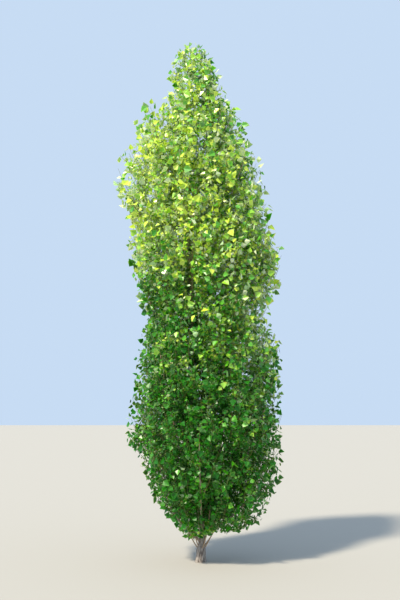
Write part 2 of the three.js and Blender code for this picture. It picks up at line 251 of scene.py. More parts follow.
LEAF_END = 0.002  # the last leaf is this far from its shoot's tip
LEAF_REACH = 0.045  # from a leaf's foot to the middle of its blade
LEAF_BEYOND = 0.012  # a blade's middle may lie this far outside the crown's edge
LIMB_GAP = 0.012  # a blade's middle keeps this far from a limb's bark
BOX_SHARE = 0.03  # the foliage may stand this share of each side, and this far, proud of the solids' box
BOX_GAP = 0.01
ROOM_SHARE = 1.4  # on every side of its middle a blade is given this share of its length
LEAF_SLANT = math.radians(62)
LEAF_OUTWARD = 0.25  # a stalk's turn outwards and down
LEAF_DOWN = 0.12
FACE_OUTWARD = 0.35  # how far a blade faces outwards and up, and how much blades differ
FACE_UP = 0.28
FACE_SPREAD = 2.4
YOUNGEST = 0.62  # towards a shoot's tip leaves shrink to this share
LEAF_DEPTHS = (0.2, 0.5, 0.75, 0.88, 0.97)  # shares of the crown's reach
LEAF_SHARES = (0.5, 0.95, 1.0, 0.44, 0.12)  # how many leaves and sprigs last at each of these depths
LEAF_GROWTH = (1.0, 0.95, 0.88, 1.08, 1.5)  # and how large the leaves are
GROWTH_HEIGHTS = (1.6, 3.2, 4.6, 5.2)  # low in the crown they are smaller, and larger at its top
GROWTH_SHARES = (0.84, 0.94, 1.06, 1.24)
FOOT_HEIGHTS = (0.5, 1.1)  # near the foot of the crown they last at every depth
FOOT_SHARES = (1.0, 0.0)
THIN_HEIGHTS = (0.3, 0.7, 3.4, 4.4, 5.0)  # but fewer do at its very foot and towards its open top
THIN_SHARES = (0.7, 1.0, 1.0, 0.84, 0.54)
GLIMPSE_HEIGHTS = (2.75, 3.5)  # between these the trunk shows through the front of the crown
GLIMPSE_WIDTH = 0.035  # most leaves that are less than this far beside it are missing there
GLIMPSE_SHARE = 0.8

# Each kind of wood bears leaves this much further apart than usual, from this share of its length on,
# and this large
LEAFY = {
    "twigs": (1, 0.35, 1.2),
    "inner": (1, 0.1, 1.1),
    "reaching": (1, 0.2, 1.1),
    "feathers": (2.6, 0.15, 1.4),
    "twigs_sprigs": (1, 0, 1),
    "inner_sprigs": (1, 0, 1),
    "reaching_sprigs": (1, 0, 1),
    "stool_sprigs": (1, 0, 1.15),
    "stems": (1, 0.5, 1.25),
    "stool": (1, 0.2, 1.25),
}
ALL_LAST = ("feathers",)  # wood whose leaves last at every depth and in the hollows

FULL_OUTLINE = ((0.0, 0.0), (0.49, 0.27), (0.31, 0.62), (0.0, 1.0))  # half a blade of unit length
PLAIN_OUTLINE = ((0.0, 0.0), (0.46, 0.36), (0.0, 1.0))
PLAIN_DEPTH = 0.78  # nearer to the middle than this share of the reach, leaves have the plain outline
FULL_DIPS = (12, 32, 52, 70)  # degrees from a stalk down to its blade, one for each shape
PLAIN_DIPS = (22, 56)
LEAF_FOLDS = (0.18, 0.28)  # how steeply the blade's halves are folded up, by turns
LEAF_DROOP = 0.12  # how far its tip bends down
RIB_PLACE = 0.42  # where it is thickest
BLADE_THICKNESS = 0.016
STALK_FOOT = ((-0.012, -0.008), (0.012, -0.008), (0, 0.012))  # the corners of its foot, across and up
STALK_SUNK = 0.02  # how far the stalk begins inside its twig
STALK_IN_BLADE = 0.04  # and how far it ends inside the blade

# Leaf tints are painted sun and shade: lit and shaded copies of one leaf green, from two painted in full
# sun, the first the yellowest, through one painted half in the sun, to two painted in shade
TINTS = ("young", "bright", "fresh", "deep", "shade")
TINT_WAX = (1.0, 1.0, 0.95, 0.5, 0.3)  # how strongly leaves of each tint shine
TINT_PALENESS = (0.8, 0.7, 0.45, 0.15, 0.06)  # and how pale their undersides are: really pale, and paler on sunny tints as a painted glint
TINT_LIMITS = (1.0, 0.75, 0.5, 0.25)  # how bright sprays of each tint but the last are at least
SPRAY = 2  # leaves of one tint along a shoot
TINT_HEIGHTS = (0.3, 1.5, 2.6, 3.6, 5.8)
HEIGHT_LIGHT_LEVELS = (0.07, 0.1, 0.56, 0.95, 0.72)  # how brightly sprays are painted lit at these heights: painted shade low in the crown
LIT_RIGHT = (-0.02, 0.02, 0.22, -0.12, -0.24)  # and how much painted sun brightens them towards +X and +Y
LIT_BACK = (-0.02, -0.03, 0.0, -0.1, -0.2)
LIGHT_PATCH_SHARES = (0.7, 0.7, 0.7, 0.5, 0.3)  # and how much painted patches of sun and shade among them differ
LIGHT_PATCH_WAVE = 0.14  # the size of a painted patch of sun or shade
TINT_SPREAD = 0.85  # and how much sprays differ by chance
DEPTH_SHADE = (-0.11, -0.05, 0.0, 0.03, -0.18)  # at the leaves' depths: painted shade makes the middle and the rim deeper
LEAF_ROUGHNESS = 0.38  # of the upper side
UNDER_COLOUR = "d4e2c4"  # the bloom on the palest underside, whose paleness on sunny tints is partly a painted glint
UNDER_ROUGHNESS = 0.7
UNDER_WAX = 0.3

# Bark

TRUNK_RINGS = 300
TRUNK_CROWDING = 1.35  # how much closer the trunk's rings lie towards its foot
TRUNK_SIDES = 48
BOUGH_RINGS = 60
BOUGH_SIDES = 9
STOOL_RINGS = 40
STOOL_SIDES = 8
FLAT_CUT = 0.002  # the trunk's bark is pressed flat below this height
LEANING = 0.1  # a limb that leans less than this has its rings lined up with +Y
TRUNK_AGING = (1.1, 1.6)  # the bark's age at the foot, and the height over which it grows young
BOUGH_AGING = (0.7, 1.5)
STOOL_AGE = 0.1
YOUNG_AGE = 0.05
LUMP_SCALES = (25, 25, 12)  # lumps are about 40 mm wide and 80 mm long
LUMP_DEPTHS = (0.35, 1)  # on young and on old bark
LUMP_SHARE = 0.8
SPLIT_SHARPNESS = 3
FULL_RELIEF_RADIUS = 0.02  # thinner wood has less relief
COLLAR_OUT = 1.1  # a bough leaves the bark this many of the trunk's radii along its own length
COLLAR_WIDTH = 1.6  # in radii of the bough
COLLAR_HEIGHT = 0.35
MOTTLE_SCALE = 45.0  # patches of about 22 mm
MOTTLE_EDGE = (0.3, 0.7)
MOTTLE_TONES = (0.78, 1.15)  # how dark and how pale they make the bark
DASH_SHARE = 0.3  # a dash's size, as a share of the way from one to the next
DASH_EDGE = (0.12, 0.2)  # where the patterns go over from mark to ground
SPLIT_EDGE = (0.38, 0.56)
BUMP_STRENGTH = 0.6

# The sockets of a colour mix, which share their names with others
MIX_SHARE = 0
MIX_FIRST = 6
MIX_SECOND = 7
MIX_RESULT = 2

# Stage

FLOOR_HALF = 80  # half the floor's side
FARTHEST = 200  # how far the camera sees
KEY_WIDTH = math.radians(6)  # how wide the light looks, so that shadows are soft
KEY_COLOUR = "fff3dd"
KEY_WAY = (-0.5, -0.62, 0.95)  # where it comes from: high on the left, in front
FLOOR_ROUGHNESS = 0.9


# Numbers and directions


def chance(a, b):
    """A number from 0 to 1 that depends only on its arguments. The second tells one use from another."""
    s = np.sin(a * 12.9898 + b * 78.233 + 4.137) * 43758.5453
    return s - np.floor(s)


def mixed(a, b, share):
    """The value this share of the way from a to b."""
    return a + (b - a) * share


def unit(vectors):
    return vectors / np.linalg.norm(vectors, axis=-1, keepdims=True)


def turned(vectors, axes, angles):
    """Vectors that are square to their axes, turned about them."""
    angles = np.asarray(angles)[..., None]
    return vectors * np.cos(angles) + np.cross(axes, vectors) * np.sin(angles)


def reach(heights, angles):
    """How far the crown reaches at these heights, in these directions round the line over the origin."""
    c = np.cos(angles)
    left = np.interp(heights, CROWN[:, 0], CROWN[:, 1])
    right = np.interp(heights, CROWN[:, 0], CROWN[:, 2])
    around = np.asarray(heights)[..., None] + np.array((-1, -0.5, 0, 0.5, 1)) * DEPTH_SMOOTHING
    means = np.interp(around, CROWN[:, 0], CROWN[:, 1:].mean(axis=1))
    depth = np.minimum(means.mean(axis=-1), DEPTH_MOST * means[..., 2])
    return mixed(depth, np.where(c > 0, right, left), c * c)


def inside_crown(points, margins):
    """Whether points lie at least this far inside the crown's edge."""
    x, y, z = points.T
    high_enough = (z > CROWN[0, 0] + margins) & (z < CROWN[-1, 0] - margins)
    return high_enough & (np.hypot(x, y) < reach(z, np.arctan2(y, x)) - margins)


def crown_depths(points):
    """How far out points lie, from 0 over the origin to 1 at the crown's edge."""
    x, y, z = points.T
    return np.hypot(x, y) / reach(z, np.arctan2(y, x))


def waves(points):
    """Smooth noise at the points, in waves about one unit long."""
    return np.array([noise.noise(Vector(point)) for point in points])


# The trunk, the boughs and the leader


class Curve:
    """A smooth line that is measured by shares of its length."""

    def __init__(self, point_at):
        self.point_at = point_at
        self.parameters = np.linspace(0, 1, CURVE_POINTS)
        steps = np.linalg.norm(np.diff(point_at(self.parameters), axis=0), axis=1)
        self.lengths = np.concatenate(((0,), np.cumsum(steps)))
        self.length = self.lengths[-1]

    def parameter(self, share):
        return np.interp(np.asarray(share) * self.length, self.lengths, self.parameters)

    def at(self, share):
        return self.point_at(self.parameter(share))

    def tangent(self, share):
        t = self.parameter(share)
        before = self.point_at(np.maximum(t - TANGENT_STEP, 0))
        return unit(self.point_at(np.minimum(t + TANGENT_STEP, 1)) - before)


def bent_line(root, elbow, tip):
    """A quadratic Bezier curve."""

    def point_at(t):
        t = np.asarray(t)[..., None]
        return (1 - t) ** 2 * root + 2 * t * (1 - t) * elbow + t**2 * tip

    return Curve(point_at)


def smooth_line(points):
    """A centripetal Catmull-Rom curve through the points."""
    p = np.array(points, float)
    p = np.array((2 * p[0] - p[1], *p, 2 * p[-1] - p[-2]))
    gaps = np.sqrt(np.linalg.norm(np.diff(p, axis=0), axis=1))

    def point_at(t):
        place = np.asarray(t) * (len(points) - 1)
        k = np.clip(np.floor(place).astype(int), 0, len(points) - 2)
        w = (place - k)[..., None]
        p0, p1, p2, p3 = (p[k + n] for n in range(4))
        g0, g1, g2 = (gaps[k + n][..., None] for n in range(3))
        a = ((p1 - p0) / g0 - (p2 - p0) / (g0 + g1) + (p2 - p1) / g1) * g1
        b = ((p2 - p1) / g1 - (p3 - p1) / (g1 + g2) + (p3 - p2) / g2) * g1
        square = -3 * p1 + 3 * p2 - 2 * a - b
        cube = 2 * p1 - 2 * p2 + a + b
        return p1 + a * w + square * w**2 + cube * w**3

    return Curve(point_at)


TRUNK = smooth_line(TRUNK_LINE)


def trunk_share(height):
    """The share of the trunk's length at which it has this height."""
    shares = np.linspace(0, 1, TRUNK_POINTS)
    return np.interp(height, TRUNK.at(shares)[:, 2], shares)


def trunk_at(height):
    return TRUNK.at(trunk_share(height))


class Stem:
    """A bough or the leader: its whole curve, the share where its foliage begins, and its radii."""

    def __init__(self, curve, begin, thick):
        self.curve = curve
        self.begin = begin
        self.thick = thick
        self.length = (1 - begin) * curve.length
        self.spots = curve.at(np.linspace(begin, 1, STEM_SPOTS + 1))
        self.band = next(n for n, top in enumerate(BAND_TOPS) if self.spots[STEM_SPOTS // 2][2] < top)

    def radius(self, shares):
        bare = mixed(self.thick, self.thick * BOUGH_TAPER, shares / max(self.begin, TINY))
        share = np.clip((shares - self.begin) / (1 - self.begin), 0, 1)
        leafy = mixed(self.thick * (BOUGH_TAPER if self.begin else 1), STEM_TIP_RADIUS, share)
        return np.where(shares < self.begin, bare, leafy)


def bough(i):
    """The bough with this number, from the trunk to its tip."""
    tip_height = mixed(*TIP_HEIGHTS, (i / (BOUGH_COUNT - 1)) ** TIP_CROWDING)
    even = FIRST_TURN + i * TURN + TURN_SPREAD * (chance(i, 1) - 0.5)
    angle = even - SIDE_PULL * math.sin(2 * even)
    rise = np.interp(tip_height, RISE_HEIGHTS, RISES) * (1 + RISE_SPREAD * (chance(i, 2) - 0.5))
    root = trunk_at(tip_height - rise)
    out = reach(tip_height - TIP_LOOK, angle) * TIP_SHARE
    tip = np.array((out * math.cos(angle), out * math.sin(angle), tip_height))
    elbow = mixed(root, tip, ELBOW_OUT)
    elbow[2] = root[2] + rise * ELBOW_UP
    thick = np.clip(np.interp(root[2], TRUNK_HEIGHTS, TRUNK_RADII) * BOUGH_SHARE, *BOUGH_RADII)
    return Stem(bent_line(root, elbow, tip), BARE_SHARE, thick)


def leader():
    """The stem that goes on from the trunk to the top."""
    foot = TRUNK.at(1)
    bend = foot + TRUNK.tangent(1) * LEADER_BEND
    return Stem(bent_line(foot, bend, LEADER_TOP), 0, TRUNK_RADII[-1])


STEMS = [*(bough(i) for i in range(BOUGH_COUNT)), leader()]


class Lines:
    """Lines of straight pieces that distances are measured to."""

    def __init__(self, spots):
        self.starts = spots[:, :-1]
        self.ways = np.diff(spots, axis=1)
        self.squares = (self.ways**2).sum(axis=-1)

    def nearest(self, points):
        """Each point's distance to each line, and the nearest piece's number and share."""
        offsets = points[:, None, None] - self.starts
        shares = np.clip((offsets * self.ways).sum(axis=-1) / self.squares, 0, 1)
        gaps = np.linalg.norm(offsets - shares[..., None] * self.ways, axis=-1)
        pieces = gaps.argmin(axis=-1)[..., None]
        places = pieces + np.take_along_axis(shares, pieces, -1)
        return np.take_along_axis(gaps, pieces, -1)[..., 0], places[..., 0] / self.starts.shape[1]


STEM_LINES = Lines(np.array([stem.spots for stem in STEMS]))
LIMB_SHARES = np.linspace(0, 1, LIMB_SPOTS + 1)
LIMBS = (TRUNK, *(stem.curve for stem in STEMS))
LIMB_LINES = Lines(np.array([limb.at(LIMB_SHARES) for limb in LIMBS]))


def in_portions(measure, points, *others, most=4000):
    """Runs a measure on a few thousand points at a time."""
    rows = np.array_split(np.arange(len(points)), len(points) // most + 1)
    return np.concatenate([measure(points[r], *(other[r] for other in others)) for r in rows])


def off_hollows(points):
    """Whether points lie outside the hollows in the crown's side."""
    depths = np.interp(points[:, 2], HOLLOW_HEIGHTS, HOLLOW_DEPTHS)
    open_here = np.clip(0.5 + HOLLOW_CONTRAST * waves(points / HOLLOW_WAVE), 0, 1)
    return crown_depths(points) < HOLLOW_RIM - depths * open_here


def in_cell(points, owners, margins, overlap):
    """Whether points lie in the crown and, but for an overlap, nearest to their own stem."""

    def measure(some, own):
        gaps = STEM_LINES.nearest(some)[0]
        mine = gaps[np.arange(len(some)), own] - overlap
        gaps[np.arange(len(some)), own] = np.inf
        return gaps.min(axis=1) > mine

    return inside_crown(points, margins) & in_portions(measure, points, owners)


def off_limbs(points, gap):
    """Whether points keep a gap from the bark of the trunk and of every bough."""

    def measure(some):
        gaps, shares = LIMB_LINES.nearest(some)
        heights = TRUNK.at(shares[:, 0])[:, 2]
        radii = [np.interp(heights, TRUNK_HEIGHTS, TRUNK_RADII)]
        radii += [stem.radius(shares[:, n + 1]) for n, stem in enumerate(STEMS)]
        return (gaps > np.array(radii).T + gap).all(axis=1)

    return in_portions(measure, points)


# Shoots


class Shoots:
    """Shoots of one kind: their paths in even steps, their numbers of steps, their stems and seeds."""

    def __init__(self, paths, counts, owners, seeds):
        self.paths = paths
        self.counts = counts
        self.owners = owners
        self.seeds = seeds
        self.lengths = counts * STEP

    def kept(self, rows):
        return Shoots(self.paths[rows], self.counts[rows], self.owners[rows], self.seeds[rows])

    def points(self):
        """Every point of every path, and the stem that owns it."""
        used = np.arange(self.paths.shape[1]) <= self.counts[:, None]
        return self.paths[used], np.repeat(self.owners, self.counts + 1)

    def at(self, rows, places):
        """The points and the ways at these lengths along these shoots."""
        k = np.clip((places / STEP).astype(int), 0, self.counts[rows] - 1)
        start = self.paths[rows, k]
        way = (self.paths[rows, k + 1] - start) / STEP
        return start + way * (places - k * STEP)[:, None], unit(way)

    def spaced(self, spacing, end, bare):
        """Rows, numbers and places of what grows on the shoots, from their tips to their bare feet."""
        counts = np.maximum(((self.lengths * (1 - bare) - end) / spacing).astype(int) + 1, 1)
        rows = np.repeat(np.arange(len(counts)), counts)
        numbers = np.arange(len(rows)) - np.repeat(np.cumsum(counts) - counts, counts)
        return rows, numbers, np.maximum(self.lengths[rows] - end - numbers * spacing, 0)


def together(groups):
    """All shoots of several groups as one."""
    steps = max(group.paths.shape[1] for group in groups)
    paths = []
    for group in groups:
        missing = steps - group.paths.shape[1]
        paths.append(np.pad(group.paths, ((0, 0), (0, missing), (0, 0)), mode="edge"))
    names = ("counts", "owners", "seeds")
    others = (np.concatenate([getattr(group, name) for group in groups]) for name in names)
    return Shoots(np.concatenate(paths), *others)


def side_way(ways, seeds):
    """A direction square to each way, further round by one turn for each seed."""
    across = unit(np.cross(ways, (1.0, 0.0, 0.0)))
    return turned(across, ways, seeds * TURN + chance(seeds, 11))


def slanted(ways, seeds, slants):
    """The ways that leave these ways at a slant."""
    slants = slants[..., None]
    return ways * np.cos(slants) + side_way(ways, seeds) * np.sin(slants)


def grown(feet, ways, longest, owners, seeds, lift, overlap, edges=EDGES, hollow_free=False):
    """Shoots that grow step by step, until each is as long as it may be or would leave its cell."""
    place, way = feet, ways
    growing = np.ones(len(feet), bool)
    counts = np.zeros(len(feet), int)
    paths = [feet]
    edges = mixed(*edges, chance(seeds, 31) ** 2)
    while growing.any():
        way = unit(way + UP * lift)
        ahead = place + way * STEP
        growing &= (counts + 1) * STEP <= longest
        rows = np.flatnonzero(growing)
        growing[rows] = in_cell(ahead[rows], owners[rows], edges[rows], overlap)
        growing[rows] &= hollow_free | off_hollows(ahead[rows])
        place = np.where(growing[:, None], ahead, place)
        counts += growing
        paths.append(place)
    shoots = Shoots(np.stack(paths, axis=1), counts, owners, seeds)
    return shoots.kept(shoots.lengths >= SHORTEST)


def stem_twigs(stem, i, spacing):
    """Where a stem's twigs begin: their feet, ways, greatest lengths and seeds."""
    source_count = max(TWIGS_LEAST, round(stem.length / TWIG_SPACING))
    finer = max(1, round(TWIG_SPACING / spacing))
    count = (source_count - 1) * finer + 1
    numbers = np.arange(count)
    t = mixed(*TWIG_SHARES, 1 - numbers / (count - 1))
    seeds = i * SEEDS + numbers / finer
    shares = mixed(stem.begin, 1, t)
    slants = np.radians(mixed(*TWIG_SLANT, t))
    ways = slanted(stem.curve.tangent(shares), seeds, slants)
    longest = TWIG_LONGEST * mixed(*TWIG_SPREAD, chance(seeds, 12)) * mixed(1, TWIG_SHORTENING, t)
    return stem.curve.at(shares), ways, longest, seeds


def last_shoot(stem, i):
    """The shoot that goes on from a stem's tip, in the same form."""
    ends = np.array((1.0,))
    seeds = np.array((i * SEEDS + LAST_SEED,), float)
    return stem.curve.at(ends), stem.curve.tangent(ends), np.full(1, LAST_SHOOT), seeds


def inner_shoots(curve, shares, longest, first_seed):
    """Where short shoots begin on bare wood, in the same form."""
    numbers = np.arange(len(shares))
    seeds = first_seed + numbers
    slants = np.radians(mixed(*INNER_SLANT, chance(seeds, 15)))
    ways = slanted(curve.tangent(shares), seeds, slants)
    lengths = mixed(*longest, numbers / len(numbers)) * mixed(*INNER_SPREAD, chance(seeds, 16))
    return curve.at(shares), ways, lengths, seeds


def trunk_shoots(spacing):
    """Where short shoots begin on the trunk."""
    shares = trunk_share(np.arange(*TRUNK_SHOOTS, spacing))
    return inner_shoots(TRUNK, shares, TRUNK_SHOOT_LONGEST, TRUNK_SEEDS)


def bare_shoots(stem, i, spacing):
    """Where short shoots begin on a bough, below its foliage."""
    shares = np.arange(stem.begin * BARE_FROM, stem.begin, spacing / stem.curve.length)
    return inner_shoots(stem.curve, shares, BARE_LONGEST, BARE_SEEDS + i * SEEDS)


def joined(starts):
    """The feet, ways, greatest lengths and seeds of several groups as one."""
    return (np.concatenate([s[n] for s in starts]) for n in range(4))


def grown_twigs(spacing, inner_spacing):
    """The twigs of the stems, and the shoots on bare wood, which the nearest stems own."""
    starts = [stem_twigs(stem, i, spacing) for i, stem in enumerate(STEMS)]
    starts += [last_shoot(stem, i) for i, stem in enumerate(STEMS)]
    owners = np.concatenate([np.full(len(s[0]), n % len(STEMS)) for n, s in enumerate(starts)])
    feet, ways, longest, seeds = joined(starts)
    twigs = grown(feet, ways, longest, owners, seeds, LIFTS[0], OVERLAPS[0])
    inner = [bare_shoots(stem, i, inner_spacing) for i, stem in enumerate(STEMS[:BOUGH_COUNT])]
    feet, ways, longest, seeds = joined([trunk_shoots(inner_spacing), *inner])
    owners = STEM_LINES.nearest(feet)[0].argmin(axis=1)
    return twigs, grown(feet, ways, longest, owners, seeds, LIFTS[0], OVERLAPS[1])


def lasting(points, seeds):
    """Whether sprigs and leaves last at these points: fewer do in the dark middle and at the rim."""
    shares = np.interp(crown_depths(points), LEAF_DEPTHS, LEAF_SHARES)
    shares = np.maximum(shares, np.interp(points[:, 2], FOOT_HEIGHTS, FOOT_SHARES))
    return chance(seeds, 24) < shares * np.interp(points[:, 2], THIN_HEIGHTS, THIN_SHARES)


def grown_sprigs(twigs, spacing):
    """The sprigs that grow on these twigs and last."""
    rows, numbers, places = twigs.spaced(spacing, SPRIG_END, SPRIG_BARE)
    feet, ways = twigs.at(rows, places)
    seeds = twigs.seeds[rows] * SPRIG_SEED_STEP + numbers + 1
    share = places / twigs.lengths[rows]
    slants = np.radians(mixed(*SPRIG_SLANT, share))
    longest = mixed(*SPRIG_LENGTHS, share) * mixed(*SPRIG_SPREAD, chance(seeds, 13))
    ways = slanted(ways, seeds, slants)
    shoots = grown(feet, ways, longest, twigs.owners[rows], seeds, LIFTS[1], OVERLAPS[2])
    return shoots.kept(lasting(shoots.paths[:, 0], shoots.seeds))


class Wood:
    """The points of all shoots of some groups, to find the one that is nearest to a spot."""

    def __init__(self, groups):
        self.points, self.owners = together(groups).points()
        self.tree = kdtree.KDTree(len(self.points))
        for number, point in enumerate(self.points):
            self.tree.insert(point, number)
        self.tree.balance()

    def nearest(self, spots):
        found = [self.tree.find(spot) for spot in spots]
        return np.array([f[1] for f in found]), np.array([f[2] for f in found])


def open_spots():
    """Spots all through the crown, except where broad waves of its edge and its lobes stay free."""
    numbers = np.arange(OPEN_SPOTS)
    heights = mixed(CROWN[0, 0], CROWN[-1, 0], chance(numbers, 61))
    angles = numbers * TURN
    share = np.sqrt(chance(numbers, 62))
    shares = np.where(heights < LOW_OPEN_TOP, mixed(*LOW_OPEN_SHARES, share), mixed(*OPEN_SHARES, share))
    out = reach(heights, angles) * shares
    spots = np.stack((out * np.cos(angles), out * np.sin(angles), heights), axis=-1)
    recess = mixed(*OPEN_RECESS, np.clip(0.5 + waves(spots / OPEN_WAVE), 0, 1))
    below = np.where(heights < LOW_OPEN_TOP, heights, heights - OPEN_LOBE)
    above = np.where(heights > SPIRE_FOOT, heights, heights + OPEN_LOBE)
    least = np.min([reach(level, angles) for level in (below, heights, above)], axis=0)
    return spots[out < least * (1 - recess)]


def apart(spots, gap):
    """As many of the spots as lie this far from each other."""
    kept = spots[:1]
    for spot in spots[1:]:
        if np.linalg.norm(kept - spot, axis=1).min() > gap:
            kept = np.append(kept, spot[None], axis=0)
    return kept


def reaching_shoots(twigs, sprigs, spacing):
    """Shoots that grow from the nearest twigs to spots that are far from all wood, and their sprigs."""
    shoots, fine = [], []
    for turn in range(REACHING_ROUNDS):
        spots = open_spots()
        _, gaps = Wood([*twigs, *shoots, *sprigs, *fine]).nearest(spots)
        spots = apart(spots[gaps > REACHING_GAP], REACHING_APART)
        wood = Wood([*twigs, *shoots])
        numbers, gaps = wood.nearest(spots - UP * REACHING_BELOW)
        near = gaps < REACHING_LONGEST
        spots, numbers = spots[near], numbers[near]
        feet = wood.points[numbers]
        longest = np.linalg.norm(spots - feet, axis=1) + STEP
        seeds = REACHING_SEEDS * (turn + 1) + np.arange(len(spots))
        ways = unit(spots - feet)
        shoots.append(grown(feet, ways, longest, wood.owners[numbers], seeds, 0, REACHING_OVERLAP))
        fine.append(grown_sprigs(shoots[-1], spacing))
    return together(shoots), together(fine)


def feathers(twigs):
    """Long shoots that grow up out of the crown's side from the twigs behind it."""
    numbers = np.arange(FEATHER_SPOTS)
    heights = mixed(CROWN[0, 0], CROWN[-1, 0], chance(numbers, 71))
    angles = numbers * TURN
    out = reach(heights, angles) * mixed(*FEATHER_SHARES, chance(numbers, 72))
    around = np.stack((np.cos(angles), np.sin(angles), np.zeros(len(angles))), axis=-1)
    spots = apart(around * out[:, None] + heights[:, None] * UP, FEATHER_APART)
    inward = unit(spots * (1, 1, 0)) * FEATHER_INWARD
    wood = Wood(twigs)
    numbers, _ = wood.nearest(spots - inward - UP * FEATHER_BELOW)
    feet = wood.points[numbers]
    gaps = np.linalg.norm(spots - feet, axis=1)
    near = (gaps < FEATHER_LONGEST) & (spots[:, 2] > feet[:, 2])
    spots, numbers, feet, gaps = spots[near], numbers[near], feet[near], gaps[near]
    seeds = FEATHER_SEEDS + np.arange(len(spots))
    owners = wood.owners[numbers]
    growth = (FEATHER_LIFT, REACHING_OVERLAP, FEATHER_EDGES)
    return grown(feet, unit(spots - feet), gaps, owners, seeds, *growth, hollow_free=True)


def as_shoots(curves, begins, owners, first_seed):
    """Curves, from these shares on, in the form of shoots, so that leaves and sprigs grow on them."""
    lengths = np.array([curve.length * (1 - begin) for curve, begin in zip(curves, begins)])
    counts = (lengths / STEP).astype(int)
    paths = []
    for curve, begin, length, count in zip(curves, begins, lengths, counts):
        steps = np.minimum(np.arange(counts.max() + 2), count) * STEP / length
        paths.append(curve.at(mixed(begin, 1, steps)))
    return Shoots(np.array(paths), counts, np.array(owners), first_seed + np.arange(len(curves)) * SEEDS)


def stem_shoots():
    """The leafy upper part of each bough, and the leader."""
    begins = [stem.begin for stem in STEMS]
    return as_shoots([stem.curve for stem in STEMS], begins, range(len(STEMS)), STEM_SEEDS)


def stool_curve(n):
    """A thin stem that rises from the foot of the trunk."""
    angle = STOOL_TURN + n * TURN
    way = np.array((math.cos(angle), math.sin(angle), 0))
    root = trunk_at(mixed(*STOOL_HEIGHTS, chance(n, 51)))
    out = mixed(*STOOL_OUT, chance(n, 52))
    top = mixed(*STOOL_TOPS, chance(n, 53))
    elbow = root + way * out * STOOL_ELBOW_OUT + UP * STOOL_ELBOW_UP
    return bent_line(root, elbow, root + way * out + UP * top)


@lru_cache(maxsize=1)
def stool_curves():
    return [stool_curve(n) for n in range(STOOL_COUNT)]


def stool_shoots():
    """The leafy upper part of each thin stem, owned by the stem that is nearest to its middle."""
    curves = stool_curves()
    middles = np.array([curve.at(0.5) for curve in curves])
    owners = STEM_LINES.nearest(middles)[0].argmin(axis=1)
    return as_shoots(curves, [STOOL_BARE] * len(curves), owners, STOOL_SEEDS)


@lru_cache(maxsize=1)
def crown(twig_spacing, inner_spacing, sprig_spacing):
    """All shoots of the crown by kind. They are grown once and used by every piece of foliage."""
    twigs, inner = grown_twigs(twig_spacing, inner_spacing)
    shoots = {"twigs": twigs, "inner": inner, "stool": stool_shoots()}
    fine = {f"{name}_sprigs": grown_sprigs(group, sprig_spacing) for name, group in shoots.items()}
    reaching, reaching_sprigs = reaching_shoots(shoots.values(), fine.values(), sprig_spacing)
    more = {"reaching": reaching, "reaching_sprigs": reaching_sprigs, "stems": stem_shoots()}
    return shoots | fine | more | {"feathers": feathers([*shoots.values(), reaching])}


def crown_of(scene):
    settings = scene.poplar_twigs
    return crown(settings.twig_spacing, settings.inner_spacing, settings.sprig_spacing)


# Where leaves grow, and how


def in_room(middles, lengths):
    """Whether blades of these lengths stay in the room that the foliage may take."""
    low, high = (np.array(tuple(corner)) for corner in cad_box)
    proud = (high - low) * BOX_SHARE + BOX_GAP
    halves = lengths[:, None] * ROOM_SHARE
    return ((middles - halves > low - proud) & (middles + halves < high + proud)).all(axis=1)


def off_glimpse(points, seeds):
    """Whether leaves stay clear of the view to the trunk, where it shows through the front."""
    x, y, z = points.T
    beside = np.abs(x - trunk_at(z)[:, 0]) > GLIMPSE_WIDTH
    elsewhere = (z < GLIMPSE_HEIGHTS[0]) | (z > GLIMPSE_HEIGHTS[1]) | (y > 0)
    return beside | elsewhere | (chance(seeds, 27) > GLIMPSE_SHARE)


def leaf_ways(ways, outward, seeds):
    """Which way leaves' stalks point, and which way their blades face."""
    stalks = slanted(ways, seeds, np.full(len(ways), LEAF_SLANT))
    stalks = unit(stalks + outward * LEAF_OUTWARD - UP * LEAF_DOWN)
    wobble = np.stack([chance(seeds, n) - 0.5 for n in (21, 22, 23)], axis=-1)
    facing = outward * FACE_OUTWARD + UP * FACE_UP + wobble * FACE_SPREAD
    facing -= (facing * stalks).sum(axis=-1, keepdims=True) * stalks
    return stalks, unit(facing)


def leaf_sizes(heights, depths, places):
    """The sizes of leaves at these heights, these depths and these shares of their shoots' lengths."""
    young = mixed(1, YOUNGEST, np.clip(places * 2 - 1, 0, 1) ** 2)
    growth = np.interp(depths, LEAF_DEPTHS, LEAF_GROWTH)
    return young * growth * np.interp(heights, GROWTH_HEIGHTS, GROWTH_SHARES)


def leaf_picks(depths, seeds):
    """The number of each leaf's shape: the full ones come first, and then the plain ones."""
    plain = depths < PLAIN_DEPTH
    picks = chance(seeds, 26) * np.where(plain, len(PLAIN_DIPS), len(FULL_DIPS))
    return np.where(plain, len(FULL_DIPS), 0) + picks.astype(int)


def sun_and_shade_tints(feet, outward, depths, sprays):
    """The tint of each leaf, which is its spray's: painted sun and shade, so the lower, the deeper
    green.
    """
    heights = feet[:, 2]
    bright = np.interp(heights, TINT_HEIGHTS, HEIGHT_LIGHT_LEVELS)
    bright += outward[:, 0] * np.interp(heights, TINT_HEIGHTS, LIT_RIGHT)
    bright += outward[:, 1] * np.interp(heights, TINT_HEIGHTS, LIT_BACK)
    bright += np.interp(depths, LEAF_DEPTHS, DEPTH_SHADE)
    bright += waves(feet / LIGHT_PATCH_WAVE) * np.interp(heights, TINT_HEIGHTS, LIGHT_PATCH_SHARES)
    bright += TINT_SPREAD * (chance(sprays, 41) - 0.5)
    return sum((bright < limit).astype(int) for limit in TINT_LIMITS)


LEAF_FIELDS = {"stalk": "FLOAT_VECTOR", "facing": "FLOAT_VECTOR", "size": "FLOAT", "shape": "INT"}
LEAF_VALUES = ("feet", "tints", "owners", *LEAF_FIELDS)


